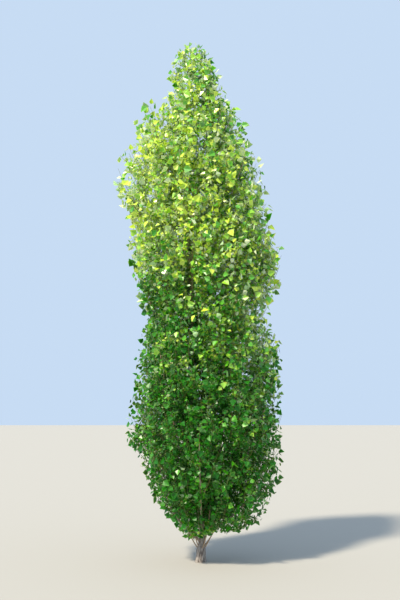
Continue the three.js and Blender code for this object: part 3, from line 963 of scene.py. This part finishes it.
class Leaves:
    """Where leaves grow, which way they point and face, and their sizes, shapes, tints and stems."""

    def __init__(self, shoots, settings, thinned, bare, largest, all_last):
        rows, numbers, places = shoots.spaced(settings.spacing * thinned, LEAF_END, bare)
        feet, ways = shoots.at(rows, places)
        seeds = shoots.seeds[rows] * LEAF_SEED_STEPS[0] + numbers * LEAF_SEED_STEPS[1]
        outward = unit(feet * (1, 1, 0) + TINY)
        depths = crown_depths(feet)
        places = places / np.maximum(shoots.lengths[rows], STEP)
        self.feet = feet
        self.tints = sun_and_shade_tints(feet, outward, depths, shoots.seeds[rows] + numbers // SPRAY)
        self.owners = shoots.owners[rows]
        self.stalk, self.facing = leaf_ways(ways, outward, seeds)
        self.size = largest * leaf_sizes(feet[:, 2], depths, places)
        self.shape = leaf_picks(depths, seeds)
        middles = feet + self.stalk * LEAF_REACH
        inside = inside_crown(middles, np.full(len(rows), -LEAF_BEYOND))
        room = in_room(middles, self.size * settings.length)
        clear = off_limbs(middles, LIMB_GAP) & off_glimpse(middles, seeds)
        last = all_last | (lasting(feet, seeds) & off_hollows(feet))
        self.keep(last & inside & room & clear)

    def keep(self, rows):
        for name in LEAF_VALUES:
            setattr(self, name, getattr(self, name)[rows])


# Meshes


def linear(colour):
    """The linear values of an sRGB hex colour."""
    values = [int(colour[n : n + 2], 16) / 255 for n in (0, 2, 4)]
    return tuple(v / 12.92 if v <= 0.04045 else ((v + 0.055) / 1.055) ** 2.4 for v in values)


def new_piece(name, vertices, edges=(), faces=()):
    """A new object with its mesh, in the scene."""
    mesh = bpy.data.meshes.new(name)
    mesh.from_pydata(vertices, edges, faces)
    piece = bpy.data.objects.new(name, mesh)
    bpy.context.scene.collection.objects.link(piece)
    return piece


def store(mesh, name, kind, values, domain="POINT"):
    """Keeps one value for each point or face of a mesh."""
    values = np.asarray(values)
    layer = mesh.attributes.new(name, kind, domain)
    layer.data.foreach_set("vector" if kind == "FLOAT_VECTOR" else "value", values.ravel())


def add_node(tree, kind, inputs=(), **settings):
    """Adds a node, makes its settings, and fills its inputs or links them."""
    node = tree.nodes.new(kind)
    for name, value in settings.items():
        setattr(node, name, value)
    for name, value in dict(inputs).items():
        if isinstance(value, bpy.types.NodeSocket):
            tree.links.new(value, node.inputs[name])
        else:
            node.inputs[name].default_value = value
    return node


def geometry_tree(name, inputs):
    """A new geometry tree with named inputs, and its input node."""
    tree = bpy.data.node_groups.new(name, "GeometryNodeTree")
    tree.interface.new_socket("Geometry", in_out="OUTPUT", socket_type="NodeSocketGeometry")
    tree.interface.new_socket("Geometry", in_out="INPUT", socket_type="NodeSocketGeometry")
    for label, kind in inputs.items():
        tree.interface.new_socket(label, in_out="INPUT", socket_type=kind)
    return tree, add_node(tree, "NodeGroupInput")


def make_plain(piece, tree, values, helpers=()):
    """Runs a geometry tree on a piece and keeps the result as its plain mesh, without helping values."""
    modifier = piece.modifiers.new(tree.name, "NODES")
    modifier.node_group = tree
    for item in tree.interface.items_tree:
        if item.in_out == "INPUT" and item.name in values:
            modifier[item.identifier] = values[item.name]
    graph = bpy.context.evaluated_depsgraph_get()
    mesh = bpy.data.meshes.new_from_object(piece.evaluated_get(graph), depsgraph=graph)
    piece.modifiers.clear()
    piece.data = mesh
    mesh.name = piece.name
    for name in helpers:
        if name in mesh.attributes:
            mesh.attributes.remove(mesh.attributes[name])


def finish_piece(piece, nodes):
    """Fixes a piece to the tree and hides the nodes it stands for."""
    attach(piece, "root")
    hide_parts(*nodes)


def nodes_of(band):
    """The masses of foliage of one band of height."""
    names = [n for n in frame["nodes"] if n.startswith(f"foliage_{BANDS[band]}_")]
    return sorted(names) + (["foliage_leader"] if BANDS[band] == "high" else [])


# Materials


def principled(name, values):
    """A new material, its node tree and its shader, whose sockets are set to constant values."""
    material = bpy.data.materials.new(name)
    material.use_nodes = True
    shader = material.node_tree.nodes["Principled BSDF"]
    for socket, value in values.items():
        shader.inputs[socket].default_value = value
    return material, material.node_tree, shader


def bark_material(settings):
    """Poplar bark: smooth and tan with pale cross dashes on young wood, grey and split at the foot.

    It gives the eye dull, rough stems that turn from fissured grey to clean tan as they rise.
    """
    material, tree, shader = principled("poplar_bark", {"Roughness": 0.82, "Specular IOR Level": 0.3})
    place = add_node(tree, "ShaderNodeAttribute", attribute_name="bark_place").outputs["Vector"]
    age = add_node(tree, "ShaderNodeAttribute", attribute_name="bark_age").outputs["Fac"]
    across, along = 1 / settings.fissure_width, 1 / settings.fissure_length
    stretch = {0: place, 1: (across, across, along)}
    stretched = add_node(tree, "ShaderNodeVectorMath", stretch, operation="MULTIPLY")
    grain = {"Vector": stretched.outputs[0], "Scale": 1.0, "Detail": 4.0}
    splits = add_node(tree, "ShaderNodeTexNoise", grain).outputs[0]
    across, along = 1 / settings.dash_length, 1 / settings.dash_width
    squash = {0: place, 1: (across, across, along)}
    squashed = add_node(tree, "ShaderNodeVectorMath", squash, operation="MULTIPLY")
    cells = {"Vector": squashed.outputs[0], "Scale": DASH_SHARE}
    dashes = add_node(tree, "ShaderNodeTexVoronoi", cells).outputs[0]

    kinds = (
        (splits, SPLIT_EDGE, settings.split_colour, settings.old_colour),
        (dashes, DASH_EDGE, settings.dash_colour, settings.young_colour),
    )
    barks = []
    for pattern, (low, high), mark, ground in kinds:
        share = {"Value": pattern, "From Min": low, "From Max": high}
        shown = add_node(tree, "ShaderNodeMapRange", share).outputs[0]
        mix = {MIX_SHARE: shown, MIX_FIRST: (*mark, 1), MIX_SECOND: (*ground, 1)}
        barks.append(add_node(tree, "ShaderNodeMix", mix, data_type="RGBA").outputs[MIX_RESULT])
    mix = {MIX_SHARE: age, MIX_FIRST: barks[1], MIX_SECOND: barks[0]}
    aged = add_node(tree, "ShaderNodeMix", mix, data_type="RGBA").outputs[MIX_RESULT]

    patches = {"Vector": place, "Scale": MOTTLE_SCALE, "Detail": 3.0}
    mottle = add_node(tree, "ShaderNodeTexNoise", patches).outputs[0]
    (low, high), (darkest, palest) = MOTTLE_EDGE, MOTTLE_TONES
    tones = {"Value": mottle, "From Min": low, "From Max": high, "To Min": darkest, "To Max": palest}
    tone = add_node(tree, "ShaderNodeMapRange", tones).outputs[0]
    final = add_node(tree, "ShaderNodeVectorMath", {0: aged, "Scale": tone}, operation="SCALE")
    swell = {"Height": splits, "Strength": BUMP_STRENGTH, "Distance": settings.relief}
    bump = add_node(tree, "ShaderNodeBump", swell)
    tree.links.new(final.outputs[0], shader.inputs["Base Color"])
    tree.links.new(bump.outputs[0], shader.inputs["Normal"])
    return material


def twig_material(name, colour):
    """Young twig bark: thin, smooth and a little waxy, so that it gives a soft edge of light."""
    values = {"Base Color": (*colour, 1), "Roughness": 0.5, "Specular IOR Level": 0.4}
    return principled(name, values)[0]


def leaf_material(name, colour, roughness, wax):
    """A living poplar leaf: waxy skin over green flesh, so it glints in the sun and glows against it."""
    values = {
        "Base Color": (*colour, 1),
        "Roughness": roughness,
        "Specular IOR Level": wax,
        "Subsurface Weight": 0.5,
        "Subsurface Radius": (0.8, 1.0, 0.3),
        "Subsurface Scale": 0.003,
    }
    return principled(name, values)[0]


# Limbs


def limb_rings(curve, shares):
    """The middles of a limb's rings, and the two directions that each lies in."""
    chord = curve.at(1) - curve.at(0)
    slants = np.hypot(chord[0], chord[1]) > LEANING * np.linalg.norm(chord)
    level = np.array((-chord[1], chord[0], 0)) if slants else np.array((0.0, 1.0, 0.0))
    tangents = curve.tangent(shares)
    across = unit(np.cross(level, tangents))
    return curve.at(shares), across, np.cross(tangents, across)


def ring_angles(sides):
    """The angles of a ring's points."""
    return np.arange(sides) * 2 * math.pi / sides


def ring_ways(across, level, angles):
    """The directions from the middle of each ring to its points."""
    return across[:, None] * np.cos(angles)[:, None] + level[:, None] * np.sin(angles)[:, None]


def bark_ages(heights, oldest, fading):
    """How old the bark is, from 1 for split grey bark down to that of young wood."""
    return np.clip(oldest - heights / fading, YOUNG_AGE, 1)


def bark_depths(places, ages, settings):
    """How far the bark stands in or out at each place: splits on old wood, faint lumps on young wood."""
    across, along = 1 / settings.fissure_width, 1 / settings.fissure_length
    splits = waves(places * (across, across, along))
    gorges = 1 - np.minimum(1, np.abs(splits) * SPLIT_SHARPNESS)
    lumps = mixed(*LUMP_DEPTHS, ages) * waves(places * LUMP_SCALES) * LUMP_SHARE
    return (ages * (0.5 - gorges) + lumps) * settings.relief


def limb_mesh(curve, shares, sides, radii, ages, settings):
    """The points, faces, bark places and ages of one limb in relief. radii has a row for each ring."""
    middles, across, level = limb_rings(curve, shares)
    angles = ring_angles(sides)
    alongs = np.repeat((shares * curve.length)[:, None], sides, axis=1)
    places = np.stack((radii * np.cos(angles), radii * np.sin(angles), alongs), axis=-1)
    places = places.reshape(-1, 3)
    ages = np.repeat(ages, sides)
    relief = np.minimum(1, radii.ravel() / FULL_RELIEF_RADIUS)
    depths = bark_depths(places, ages, settings) * relief
    radii = radii + depths.reshape(radii.shape)
    rings = ring_ways(across, level, angles)
    points = (middles[:, None] + rings * radii[..., None]).reshape(-1, 3)
    firsts = (np.arange(len(shares) - 1) * sides)[:, None]
    this, after = np.arange(sides), (np.arange(sides) + 1) % sides
    corners = (firsts + this, firsts + after, firsts + sides + after, firsts + sides + this)
    faces = np.stack(corners, axis=-1).reshape(-1, 4).tolist()
    faces.append(list(range(sides - 1, -1, -1)))
    faces.append(list(range(len(points) - sides, len(points))))
    return points, faces, places, ages


def bark_piece(name, limbs, material):
    """Joins limbs into one piece with its bark attributes."""
    points, faces, places, ages = zip(*limbs)
    corners, first = [], 0
    for some, own in zip(points, faces):
        corners += [[corner + first for corner in face] for face in own]
        first += len(some)
    piece = new_piece(name, np.concatenate(points), faces=corners)
    store(piece.data, "bark_place", "FLOAT_VECTOR", np.concatenate(places))
    store(piece.data, "bark_age", "FLOAT", np.concatenate(ages))
    piece.data.materials.append(material)
    piece.data.shade_smooth()
    return piece


def trunk_radii(heights, angles):
    """The trunk's radius at each height and angle: its taper and its root flare."""
    fade = np.exp(-np.maximum(heights, 0) / FLARE_HEIGHT)[:, None]
    radii = np.interp(heights, TRUNK_HEIGHTS, TRUNK_RADII)[:, None]
    return radii * (1 + FLARE_DEPTH * fade * np.cos(FLARE_LOBES * angles))


def collars(middles, across, level, radii, angles):
    """How far the bark swells round the root of each bough."""
    swell = np.zeros_like(radii)
    skin = middles[:, None] + ring_ways(across, level, angles) * radii[..., None]
    for stem in STEMS[:BOUGH_COUNT]:
        wood = np.interp(stem.curve.at(0)[2], TRUNK_HEIGHTS, TRUNK_RADII)
        exit_point = stem.curve.at(wood * COLLAR_OUT / stem.curve.length)
        gaps = np.linalg.norm(skin - exit_point, axis=-1) / stem.thick
        swell += COLLAR_HEIGHT * stem.thick * np.exp(-((gaps / COLLAR_WIDTH) ** 2))
    return swell


# What a user would change


class PoplarBark(bpy.types.PropertyGroup):
    """The relief and the colours of the bark"""

    relief: bpy.props.FloatProperty(
        name="Relief", description="Depth of the splits in old bark", default=0.0022, unit="LENGTH"
    )
    fissure_width: bpy.props.FloatProperty(
        name="Split spacing", description="From one split to the next, round the stem", default=0.013,
        unit="LENGTH",
    )
    fissure_length: bpy.props.FloatProperty(
        name="Split length", description="How long a split runs up the stem", default=0.07, unit="LENGTH"
    )
    dash_length: bpy.props.FloatProperty(
        name="Dash length", description="Width of a pale cross dash on young bark", default=0.009,
        unit="LENGTH",
    )
    dash_width: bpy.props.FloatProperty(
        name="Dash width", description="Height of a pale cross dash on young bark", default=0.003,
        unit="LENGTH",
    )
    old_colour: bpy.props.FloatVectorProperty(
        name="Old bark", description="Grey bark at the foot", subtype="COLOR", default=linear("a39b94")
    )
    split_colour: bpy.props.FloatVectorProperty(
        name="Splits", description="The floor of the splits", subtype="COLOR", default=linear("5d534d")
    )
    young_colour: bpy.props.FloatVectorProperty(
        name="Young bark", description="Tan bark higher up", subtype="COLOR", default=linear("b0967a")
    )
    dash_colour: bpy.props.FloatVectorProperty(
        name="Dashes", description="Pale breathing pores", subtype="COLOR", default=linear("d3c4a8")
    )


class PoplarTwigs(bpy.types.PropertyGroup):
    """How close twigs and sprigs grow, and how they look"""

    twig_spacing: bpy.props.FloatProperty(
        name="Twig spacing", description="From one twig to the next along a bough", default=0.044,
        unit="LENGTH",
    )
    inner_spacing: bpy.props.FloatProperty(
        name="Inner spacing", description="From one short shoot to the next on bare wood", default=0.05,
        unit="LENGTH",
    )
    sprig_spacing: bpy.props.FloatProperty(
        name="Sprig spacing", description="From one sprig to the next along a twig", default=0.034,
        unit="LENGTH",
    )
    sides: bpy.props.IntProperty(name="Sides", description="Faces round a twig", default=3)
    thickness: bpy.props.FloatProperty(
        name="Thickness", description="Share of the twigs' own radii", default=1.0, subtype="FACTOR"
    )
    twig_colour: bpy.props.FloatVectorProperty(
        name="Twigs", description="Last year's wood", subtype="COLOR", default=linear("6b6e3a")
    )
    sprig_colour: bpy.props.FloatVectorProperty(
        name="Sprigs", description="This year's shoots", subtype="COLOR", default=linear("62862c")
    )


class PoplarLeaves(bpy.types.PropertyGroup):
    """The sizes and the colours of the leaves, whose tints are painted sun and shade"""

    length: bpy.props.FloatProperty(
        name="Leaf length", description="A full-grown blade from its stalk to its tip", default=0.05,
        unit="LENGTH",
    )
    width: bpy.props.FloatProperty(
        name="Leaf width", description="Share of the length", default=0.94, subtype="FACTOR"
    )
    stalk: bpy.props.FloatProperty(
        name="Stalk", description="Share of the blade's length", default=0.45, subtype="FACTOR"
    )
    spread: bpy.props.FloatProperty(
        name="Size spread", description="How much neighbours differ", default=0.28, subtype="FACTOR"
    )
    spacing: bpy.props.FloatProperty(
        name="Leaf spacing", description="From one leaf to the next along a shoot", default=0.0125,
        unit="LENGTH",
    )
    seed: bpy.props.IntProperty(name="Seed", description="Deals out the sizes", default=7)
    # These tints are lit and shaded copies of one leaf green: the first two painted in full sun, the
    # next painted half in the sun, the last two painted in shade
    young: bpy.props.FloatVectorProperty(
        name="Young", description="New leaves in full sun", subtype="COLOR", default=linear("c0df38")
    )
    bright: bpy.props.FloatVectorProperty(
        name="Bright", description="Sunny leaves", subtype="COLOR", default=linear("90c926")
    )
    fresh: bpy.props.FloatVectorProperty(
        name="Fresh", description="Leaves half in the sun", subtype="COLOR", default=linear("50a20e")
    )
    deep: bpy.props.FloatVectorProperty(
        name="Deep", description="Leaves in shade", subtype="COLOR", default=linear("2b7b06")
    )
    shade: bpy.props.FloatVectorProperty(
        name="Shade", description="The deepest green", subtype="COLOR", default=linear("19630a")
    )


class PoplarStage(bpy.types.PropertyGroup):
    """The camera, the light and the room"""

    distance: bpy.props.FloatProperty(
        name="Distance", description="From the camera to the trunk's foot", default=8.6, unit="LENGTH"
    )
    eye_height: bpy.props.FloatProperty(
        name="Eye height", description="The camera's height", default=1.6, unit="LENGTH"
    )
    pitch: bpy.props.FloatProperty(
        name="Pitch", description="How far the camera looks up", default=math.radians(8.16),
        unit="ROTATION",
    )
    lens: bpy.props.FloatProperty(
        name="Lens", description="Focal length in millimetres", default=46.4, unit="CAMERA"
    )
    key_strength: bpy.props.FloatProperty(
        name="Key light", description="Strength of the one strong light", default=5.2
    )
    fill_strength: bpy.props.FloatProperty(
        name="Fill light", description="Strength of the room's light", default=0.98
    )
    floor_colour: bpy.props.FloatVectorProperty(
        name="Floor", description="Plain pale floor", subtype="COLOR", default=linear("aeaba4")
    )
    room_colour: bpy.props.FloatVectorProperty(
        name="Room", description="Plain pale room", subtype="COLOR", default=linear("c9def6")
    )


# The pieces and the stage


class POPLAR_OT_trunk(bpy.types.Operator):
    """Makes the trunk with its root flare, collars and bark in relief"""

    bl_idname = "poplar.trunk"
    bl_label = "Make trunk"

    def execute(self, context):
        settings = context.scene.poplar_bark
        shares = mixed(trunk_share(0), 1, np.linspace(0, 1, TRUNK_RINGS) ** TRUNK_CROWDING)
        angles = ring_angles(TRUNK_SIDES)
        middles, across, level = limb_rings(TRUNK, shares)
        radii = trunk_radii(middles[:, 2], angles)
        radii = radii + collars(middles, across, level, radii, angles)
        ages = bark_ages(middles[:, 2], *TRUNK_AGING)
        limb = limb_mesh(TRUNK, shares, TRUNK_SIDES, radii, ages, settings)
        points = limb[0]
        points[points[:, 2] < FLAT_CUT, 2] = 0
        points[:TRUNK_SIDES, 2] = 0
        piece = bark_piece("trunk_bark", [limb], bark_material(settings))
        finish_piece(piece, ["trunk"])
        return {"FINISHED"}


class POPLAR_OT_boughs(bpy.types.Operator):
    """Makes the boughs and the leader, each one tapering limb from the trunk to its tip"""

    bl_idname = "poplar.boughs"
    bl_label = "Make boughs"

    def execute(self, context):
        settings = context.scene.poplar_bark
        shares = np.linspace(0, 1, BOUGH_RINGS)
        limbs = []
        for stem in STEMS:
            radii = np.repeat(stem.radius(shares)[:, None], BOUGH_SIDES, axis=1)
            ages = np.full(BOUGH_RINGS, bark_ages(stem.curve.at(0)[2], *BOUGH_AGING))
            limbs.append(limb_mesh(stem.curve, shares, BOUGH_SIDES, radii, ages, settings))
        piece = bark_piece("bough_bark", limbs, bpy.data.materials["poplar_bark"])
        finish_piece(piece, [n for n in frame["nodes"] if n.startswith("bough_")])
        return {"FINISHED"}


def sweep_tree():
    """The tree that makes a round twig along each line, as thick as the line's points say."""
    inputs = {"Sides": "NodeSocketInt", "Thickness": "NodeSocketFloat", "Skin": "NodeSocketMaterial"}
    tree, start = geometry_tree("poplar_twigs", inputs)
    radius = add_node(tree, "GeometryNodeInputNamedAttribute", {"Name": "radius"}, data_type="FLOAT")
    size = {0: radius.outputs[0], 1: start.outputs["Thickness"]}
    scale = add_node(tree, "ShaderNodeMath", size, operation="MULTIPLY")
    lines = add_node(tree, "GeometryNodeMeshToCurve", {"Mesh": start.outputs["Geometry"]})
    ring = {"Resolution": start.outputs["Sides"], "Radius": 1.0}
    circle = add_node(tree, "GeometryNodeCurvePrimitiveCircle", ring)
    sweep = {
        "Curve": lines.outputs[0],
        "Profile Curve": circle.outputs[0],
        "Scale": scale.outputs[0],
        "Fill Caps": True,
    }
    tubes = add_node(tree, "GeometryNodeCurveToMesh", sweep)
    real = add_node(tree, "GeometryNodeRealizeInstances", {"Geometry": tubes.outputs[0]})
    skin = {"Geometry": real.outputs[0], "Material": start.outputs["Skin"]}
    done = add_node(tree, "GeometryNodeSetMaterial", skin)
    add_node(tree, "NodeGroupOutput", {"Geometry": done.outputs[0]})
    return tree


def shoot_lines(name, shoots, radii, stride):
    """A piece of bare lines, one for each shoot, with a point and a radius at every so many steps."""
    columns = np.arange(math.ceil(shoots.counts.max() / stride) + 1) * stride
    used = columns < shoots.counts[:, None] + stride
    columns = np.minimum(columns, shoots.counts[:, None])
    points = shoots.paths[np.arange(len(columns))[:, None], columns]
    numbers = np.cumsum(used.ravel()).reshape(used.shape) - 1
    joint = used[:, 1:]
    edges = np.stack((numbers[:, :-1][joint], numbers[:, 1:][joint]), axis=-1)
    piece = new_piece(name, points[used], edges=edges.tolist())
    store(piece.data, "radius", "FLOAT", mixed(*radii, columns / shoots.counts[:, None])[used])
    return piece


class POPLAR_OT_stool(bpy.types.Operator):
    """Makes the thin stems that rise from the foot of the trunk"""

    bl_idname = "poplar.stool"
    bl_label = "Make stool stems"

    def execute(self, context):
        settings = context.scene.poplar_bark
        shares = np.linspace(0, 1, STOOL_RINGS)
        radii = np.repeat(mixed(*STOOL_RADII, shares)[:, None], STOOL_SIDES, axis=1)
        ages = np.full(STOOL_RINGS, STOOL_AGE)
        limbs = [
            limb_mesh(curve, shares, STOOL_SIDES, radii, ages, settings) for curve in stool_curves()
        ]
        piece = bark_piece("stool_bark", limbs, bpy.data.materials["poplar_bark"])
        finish_piece(piece, ["trunk"])
        return {"FINISHED"}


class POPLAR_OT_twigs(bpy.types.Operator):
    """Makes the twigs and the sprigs of each band of the crown"""

    bl_idname = "poplar.twigs"
    bl_label = "Make twigs"

    def execute(self, context):
        settings = context.scene.poplar_twigs
        groups = crown_of(context.scene)
        twigs = together([groups[name] for name in ("twigs", "inner", "reaching", "feathers")])
        sprigs = together([group for name, group in groups.items() if name.endswith("_sprigs")])
        kinds = (
            ("twigs", twigs, TWIG_RADII, TWIG_STEPS, settings.twig_colour),
            ("sprigs", sprigs, SPRIG_RADII, SPRIG_STEPS, settings.sprig_colour),
        )
        tree = sweep_tree()
        bands = np.array([stem.band for stem in STEMS])
        for kind, shoots, radii, steps, colour in kinds:
            skin = twig_material(f"poplar_{kind}_skin", colour)
            for band, label in enumerate(BANDS):
                rows = bands[shoots.owners] == band
                piece = shoot_lines(f"{kind}_{label}", shoots.kept(rows), radii, steps)
                values = {"Sides": settings.sides, "Thickness": settings.thickness, "Skin": skin}
                make_plain(piece, tree, values, ["radius"])
                piece.data.shade_smooth()
                finish_piece(piece, nodes_of(band))
        return {"FINISHED"}


def leaf_shape(name, outline, dip, fold, stalked, settings):
    """One leaf of unit length: a closed blade that is folded up along its rib, and a thin stalk."""
    right = [(x * settings.width, y, x * fold - LEAF_DROOP * y**2) for x, y in outline]
    left = [(-x, y, z) for x, y, z in right[-2:0:-1]]
    rib = mixed(np.array(right[0]), np.array(right[-1]), RIB_PLACE) - UP * BLADE_THICKNESS
    blade = np.array((*right, *left, rib))
    c, s = math.cos(math.radians(dip)), math.sin(math.radians(dip))
    y, z = blade[:, 1].copy(), blade[:, 2].copy()
    blade[:, 1] = y * c + z * s + settings.stalk
    blade[:, 2] = z * c - y * s
    count = len(blade) - 1
    top = [(0, n, n + 1) for n in range(1, count - 1)]
    under = [((n + 1) % count, n, count) for n in range(count)]
    points, faces = blade, top + under
    if stalked:
        foot = len(blade)
        stalk = [(x, -STALK_SUNK, z) for x, z in STALK_FOOT]
        stalk.append((0, settings.stalk + STALK_IN_BLADE, 0))
        points = np.concatenate((blade, stalk))
        faces = faces + [(foot + a, foot + b, foot + 3) for a, b in ((0, 1), (1, 2), (2, 0))]
    piece = new_piece(name, points, faces=faces)
    is_under = np.zeros(len(faces), bool)
    is_under[len(top) : len(top) + len(under)] = True
    store(piece.data, "under", "BOOLEAN", is_under, "FACE")
    return piece


def leaf_shapes(settings):
    """A collection of the leaf's shapes: full ones, from nearly flat to hanging, and then plain ones."""
    shapes = bpy.data.collections.new("poplar_leaf_shapes")
    kinds = [(FULL_OUTLINE, dip, True) for dip in FULL_DIPS]
    kinds += [(PLAIN_OUTLINE, dip, False) for dip in PLAIN_DIPS]
    for n, (outline, dip, stalked) in enumerate(kinds):
        fold = LEAF_FOLDS[n % 2]
        shape = leaf_shape(f"leaf_shape_{n}", outline, dip, fold, stalked, settings)
        bpy.context.scene.collection.objects.unlink(shape)
        shapes.objects.link(shape)
    return shapes


def leaf_tree():
    """The tree that sets a leaf on each point, as the point's own values and the seed say."""
    inputs = {
        "Shapes": "NodeSocketCollection",
        "Length": "NodeSocketFloat",
        "Spread": "NodeSocketFloat",
        "Seed": "NodeSocketInt",
        "Upper Side": "NodeSocketMaterial",
        "Under Side": "NodeSocketMaterial",
    }
    tree, start = geometry_tree("poplar_leaves", inputs)

    fields = {}
    for name, kind in {**LEAF_FIELDS, "under": "BOOLEAN"}.items():
        field = add_node(tree, "GeometryNodeInputNamedAttribute", {"Name": name}, data_type=kind)
        fields[name] = field.outputs[0]
    axes = {"Primary Axis": fields["stalk"], "Secondary Axis": fields["facing"]}
    turn = add_node(tree, "FunctionNodeAxesToRotation", axes, primary_axis="Y", secondary_axis="Z")
    low = add_node(tree, "ShaderNodeMath", {0: 1.0, 1: start.outputs["Spread"]}, operation="SUBTRACT")
    high = add_node(tree, "ShaderNodeMath", {0: 1.0, 1: start.outputs["Spread"]}, operation="ADD")
    luck = {2: low.outputs[0], 3: high.outputs[0], "Seed": start.outputs["Seed"]}
    differ = add_node(tree, "FunctionNodeRandomValue", luck, data_type="FLOAT")
    full = {0: fields["size"], 1: start.outputs["Length"]}
    length = add_node(tree, "ShaderNodeMath", full, operation="MULTIPLY")
    final = {0: length.outputs[0], 1: differ.outputs[1]}
    scale = add_node(tree, "ShaderNodeMath", final, operation="MULTIPLY")
    shapes = {"Collection": start.outputs["Shapes"], "Separate Children": True, "Reset Children": True}
    leaves = add_node(tree, "GeometryNodeCollectionInfo", shapes)
    spots = {
        "Points": start.outputs["Geometry"],
        "Instance": leaves.outputs[0],
        "Pick Instance": True,
        "Instance Index": fields["shape"],
        "Rotation": turn.outputs[0],
        "Scale": scale.outputs[0],
    }
    placed = add_node(tree, "GeometryNodeInstanceOnPoints", spots)
    real = add_node(tree, "GeometryNodeRealizeInstances", {"Geometry": placed.outputs[0]})
    upper = {"Geometry": real.outputs[0], "Material": start.outputs["Upper Side"]}
    first = add_node(tree, "GeometryNodeSetMaterial", upper)
    lower = {
        "Geometry": first.outputs[0],
        "Selection": fields["under"],
        "Material": start.outputs["Under Side"],
    }
    done = add_node(tree, "GeometryNodeSetMaterial", lower)
    add_node(tree, "NodeGroupOutput", {"Geometry": done.outputs[0]})
    return tree


def all_leaves(scene):
    """The values of all leaves of the crown, by name."""
    shoots = crown_of(scene)
    groups = []
    for wood, (thinned, bare, largest) in LEAFY.items():
        leaves = Leaves(shoots[wood], scene.poplar_leaves, thinned, bare, largest, wood in ALL_LAST)
        groups.append(leaves)
    return {name: np.concatenate([getattr(group, name) for group in groups]) for name in LEAF_VALUES}


class POPLAR_OT_leaves(bpy.types.Operator):
    """Makes the leaves, one piece for each tint of painted sun or shade in each band of the crown"""

    bl_idname = "poplar.leaves"
    bl_label = "Make leaves"

    def execute(self, context):
        settings = context.scene.poplar_leaves
        leaves = all_leaves(context.scene)
        bands = np.array([stem.band for stem in STEMS])[leaves["owners"]]
        tree = leaf_tree()
        shapes = leaf_shapes(settings)
        # each tint is a lit or shaded copy of the leaf green, painted sun or shade
        for t, tint in enumerate(TINTS):
            colour = np.array(getattr(settings, tint))
            # the underside is really pale, and paler on sunny tints as a painted glint
            pale = mixed(colour, np.array(linear(UNDER_COLOUR)), TINT_PALENESS[t])
            upper = leaf_material(f"poplar_leaf_{tint}", colour, LEAF_ROUGHNESS, TINT_WAX[t])
            under = leaf_material(f"poplar_leaf_{tint}_under", pale, UNDER_ROUGHNESS, UNDER_WAX)
            for band, label in enumerate(BANDS):
                rows = (leaves["tints"] == t) & (bands == band)
                if not rows.any():
                    continue
                piece = new_piece(f"leaves_{label}_{tint}", leaves["feet"][rows])
                for name, kind in LEAF_FIELDS.items():
                    store(piece.data, name, kind, leaves[name][rows])
                values = {
                    "Shapes": shapes,
                    "Length": settings.length,
                    "Spread": settings.spread,
                    "Seed": settings.seed + t * len(BANDS) + band,
                    "Upper Side": upper,
                    "Under Side": under,
                }
                make_plain(piece, tree, values, [*LEAF_FIELDS, "under"])
                finish_piece(piece, nodes_of(band))
        for shape in list(shapes.objects):
            bpy.data.objects.remove(shape)
        bpy.data.collections.remove(shapes)
        return {"FINISHED"}


class POPLAR_OT_stage(bpy.types.Operator):
    """Sets the camera at eye level, a pale floor and room, and one soft key light high on the left"""

    bl_idname = "poplar.stage"
    bl_label = "Set stage"

    def execute(self, context):
        settings = context.scene.poplar_stage
        camera = bpy.data.objects.new("camera", bpy.data.cameras.new("camera"))
        camera.data.lens = settings.lens
        camera.data.clip_end = FARTHEST
        camera.location = (0, -settings.distance, settings.eye_height)
        camera.rotation_euler = (math.pi / 2 + settings.pitch, 0, 0)
        context.scene.collection.objects.link(camera)
        context.scene.camera = camera

        half = FLOOR_HALF
        corners = ((-half, -half, 0), (half, -half, 0), (half, half, 0), (-half, half, 0))
        floor = new_piece("floor", corners, faces=((0, 1, 2, 3),))
        paint = {"Base Color": (*settings.floor_colour, 1), "Roughness": FLOOR_ROUGHNESS}
        floor.data.materials.append(principled("pale_floor", paint)[0])

        key = bpy.data.lights.new("key", "SUN")
        key.energy = settings.key_strength
        key.angle = KEY_WIDTH
        key.color = linear(KEY_COLOUR)
        lamp = bpy.data.objects.new("key", key)
        lamp.rotation_euler = Vector(KEY_WAY).to_track_quat("Z", "Y").to_euler()
        context.scene.collection.objects.link(lamp)

        world = bpy.data.worlds.new("room")
        world.use_nodes = True
        background = world.node_tree.nodes["Background"]
        background.inputs["Color"].default_value = (*settings.room_colour, 1)
        background.inputs["Strength"].default_value = settings.fill_strength
        context.scene.world = world
        context.scene.view_settings.view_transform = "Standard"
        return {"FINISHED"}


# The panel, and how all is registered and run


class POPLAR_PT_panel(bpy.types.Panel):
    """The poplar's sizes, colours and pieces"""

    bl_label = "Feathered Poplar"
    bl_idname = "POPLAR_PT_panel"
    bl_space_type = "VIEW_3D"
    bl_region_type = "UI"
    bl_category = "Poplar"

    def draw(self, context):
        for group, cls in GROUPS.items():
            box = self.layout.box()
            for name in cls.__annotations__:
                box.prop(getattr(context.scene, group), name)
        for operator in OPERATORS:
            self.layout.operator(operator.bl_idname)


GROUPS = {
    "poplar_bark": PoplarBark,
    "poplar_twigs": PoplarTwigs,
    "poplar_leaves": PoplarLeaves,
    "poplar_stage": PoplarStage,
}
OPERATORS = (
    POPLAR_OT_stage,
    POPLAR_OT_trunk,
    POPLAR_OT_boughs,
    POPLAR_OT_stool,
    POPLAR_OT_twigs,
    POPLAR_OT_leaves,
)
CLASSES = (*GROUPS.values(), *OPERATORS, POPLAR_PT_panel)


def register():
    for cls in CLASSES:
        bpy.utils.register_class(cls)
    for name, cls in GROUPS.items():
        setattr(bpy.types.Scene, name, bpy.props.PointerProperty(type=cls))


def unregister():
    for name in GROUPS:
        delattr(bpy.types.Scene, name)
    for cls in reversed(CLASSES):
        bpy.utils.unregister_class(cls)


def main():
    register()
    bpy.ops.poplar.stage()
    bpy.ops.poplar.trunk()
    bpy.ops.poplar.boughs()
    bpy.ops.poplar.stool()
    bpy.ops.poplar.twigs()
    bpy.ops.poplar.leaves()


if __name__ == "__main__":
    main()
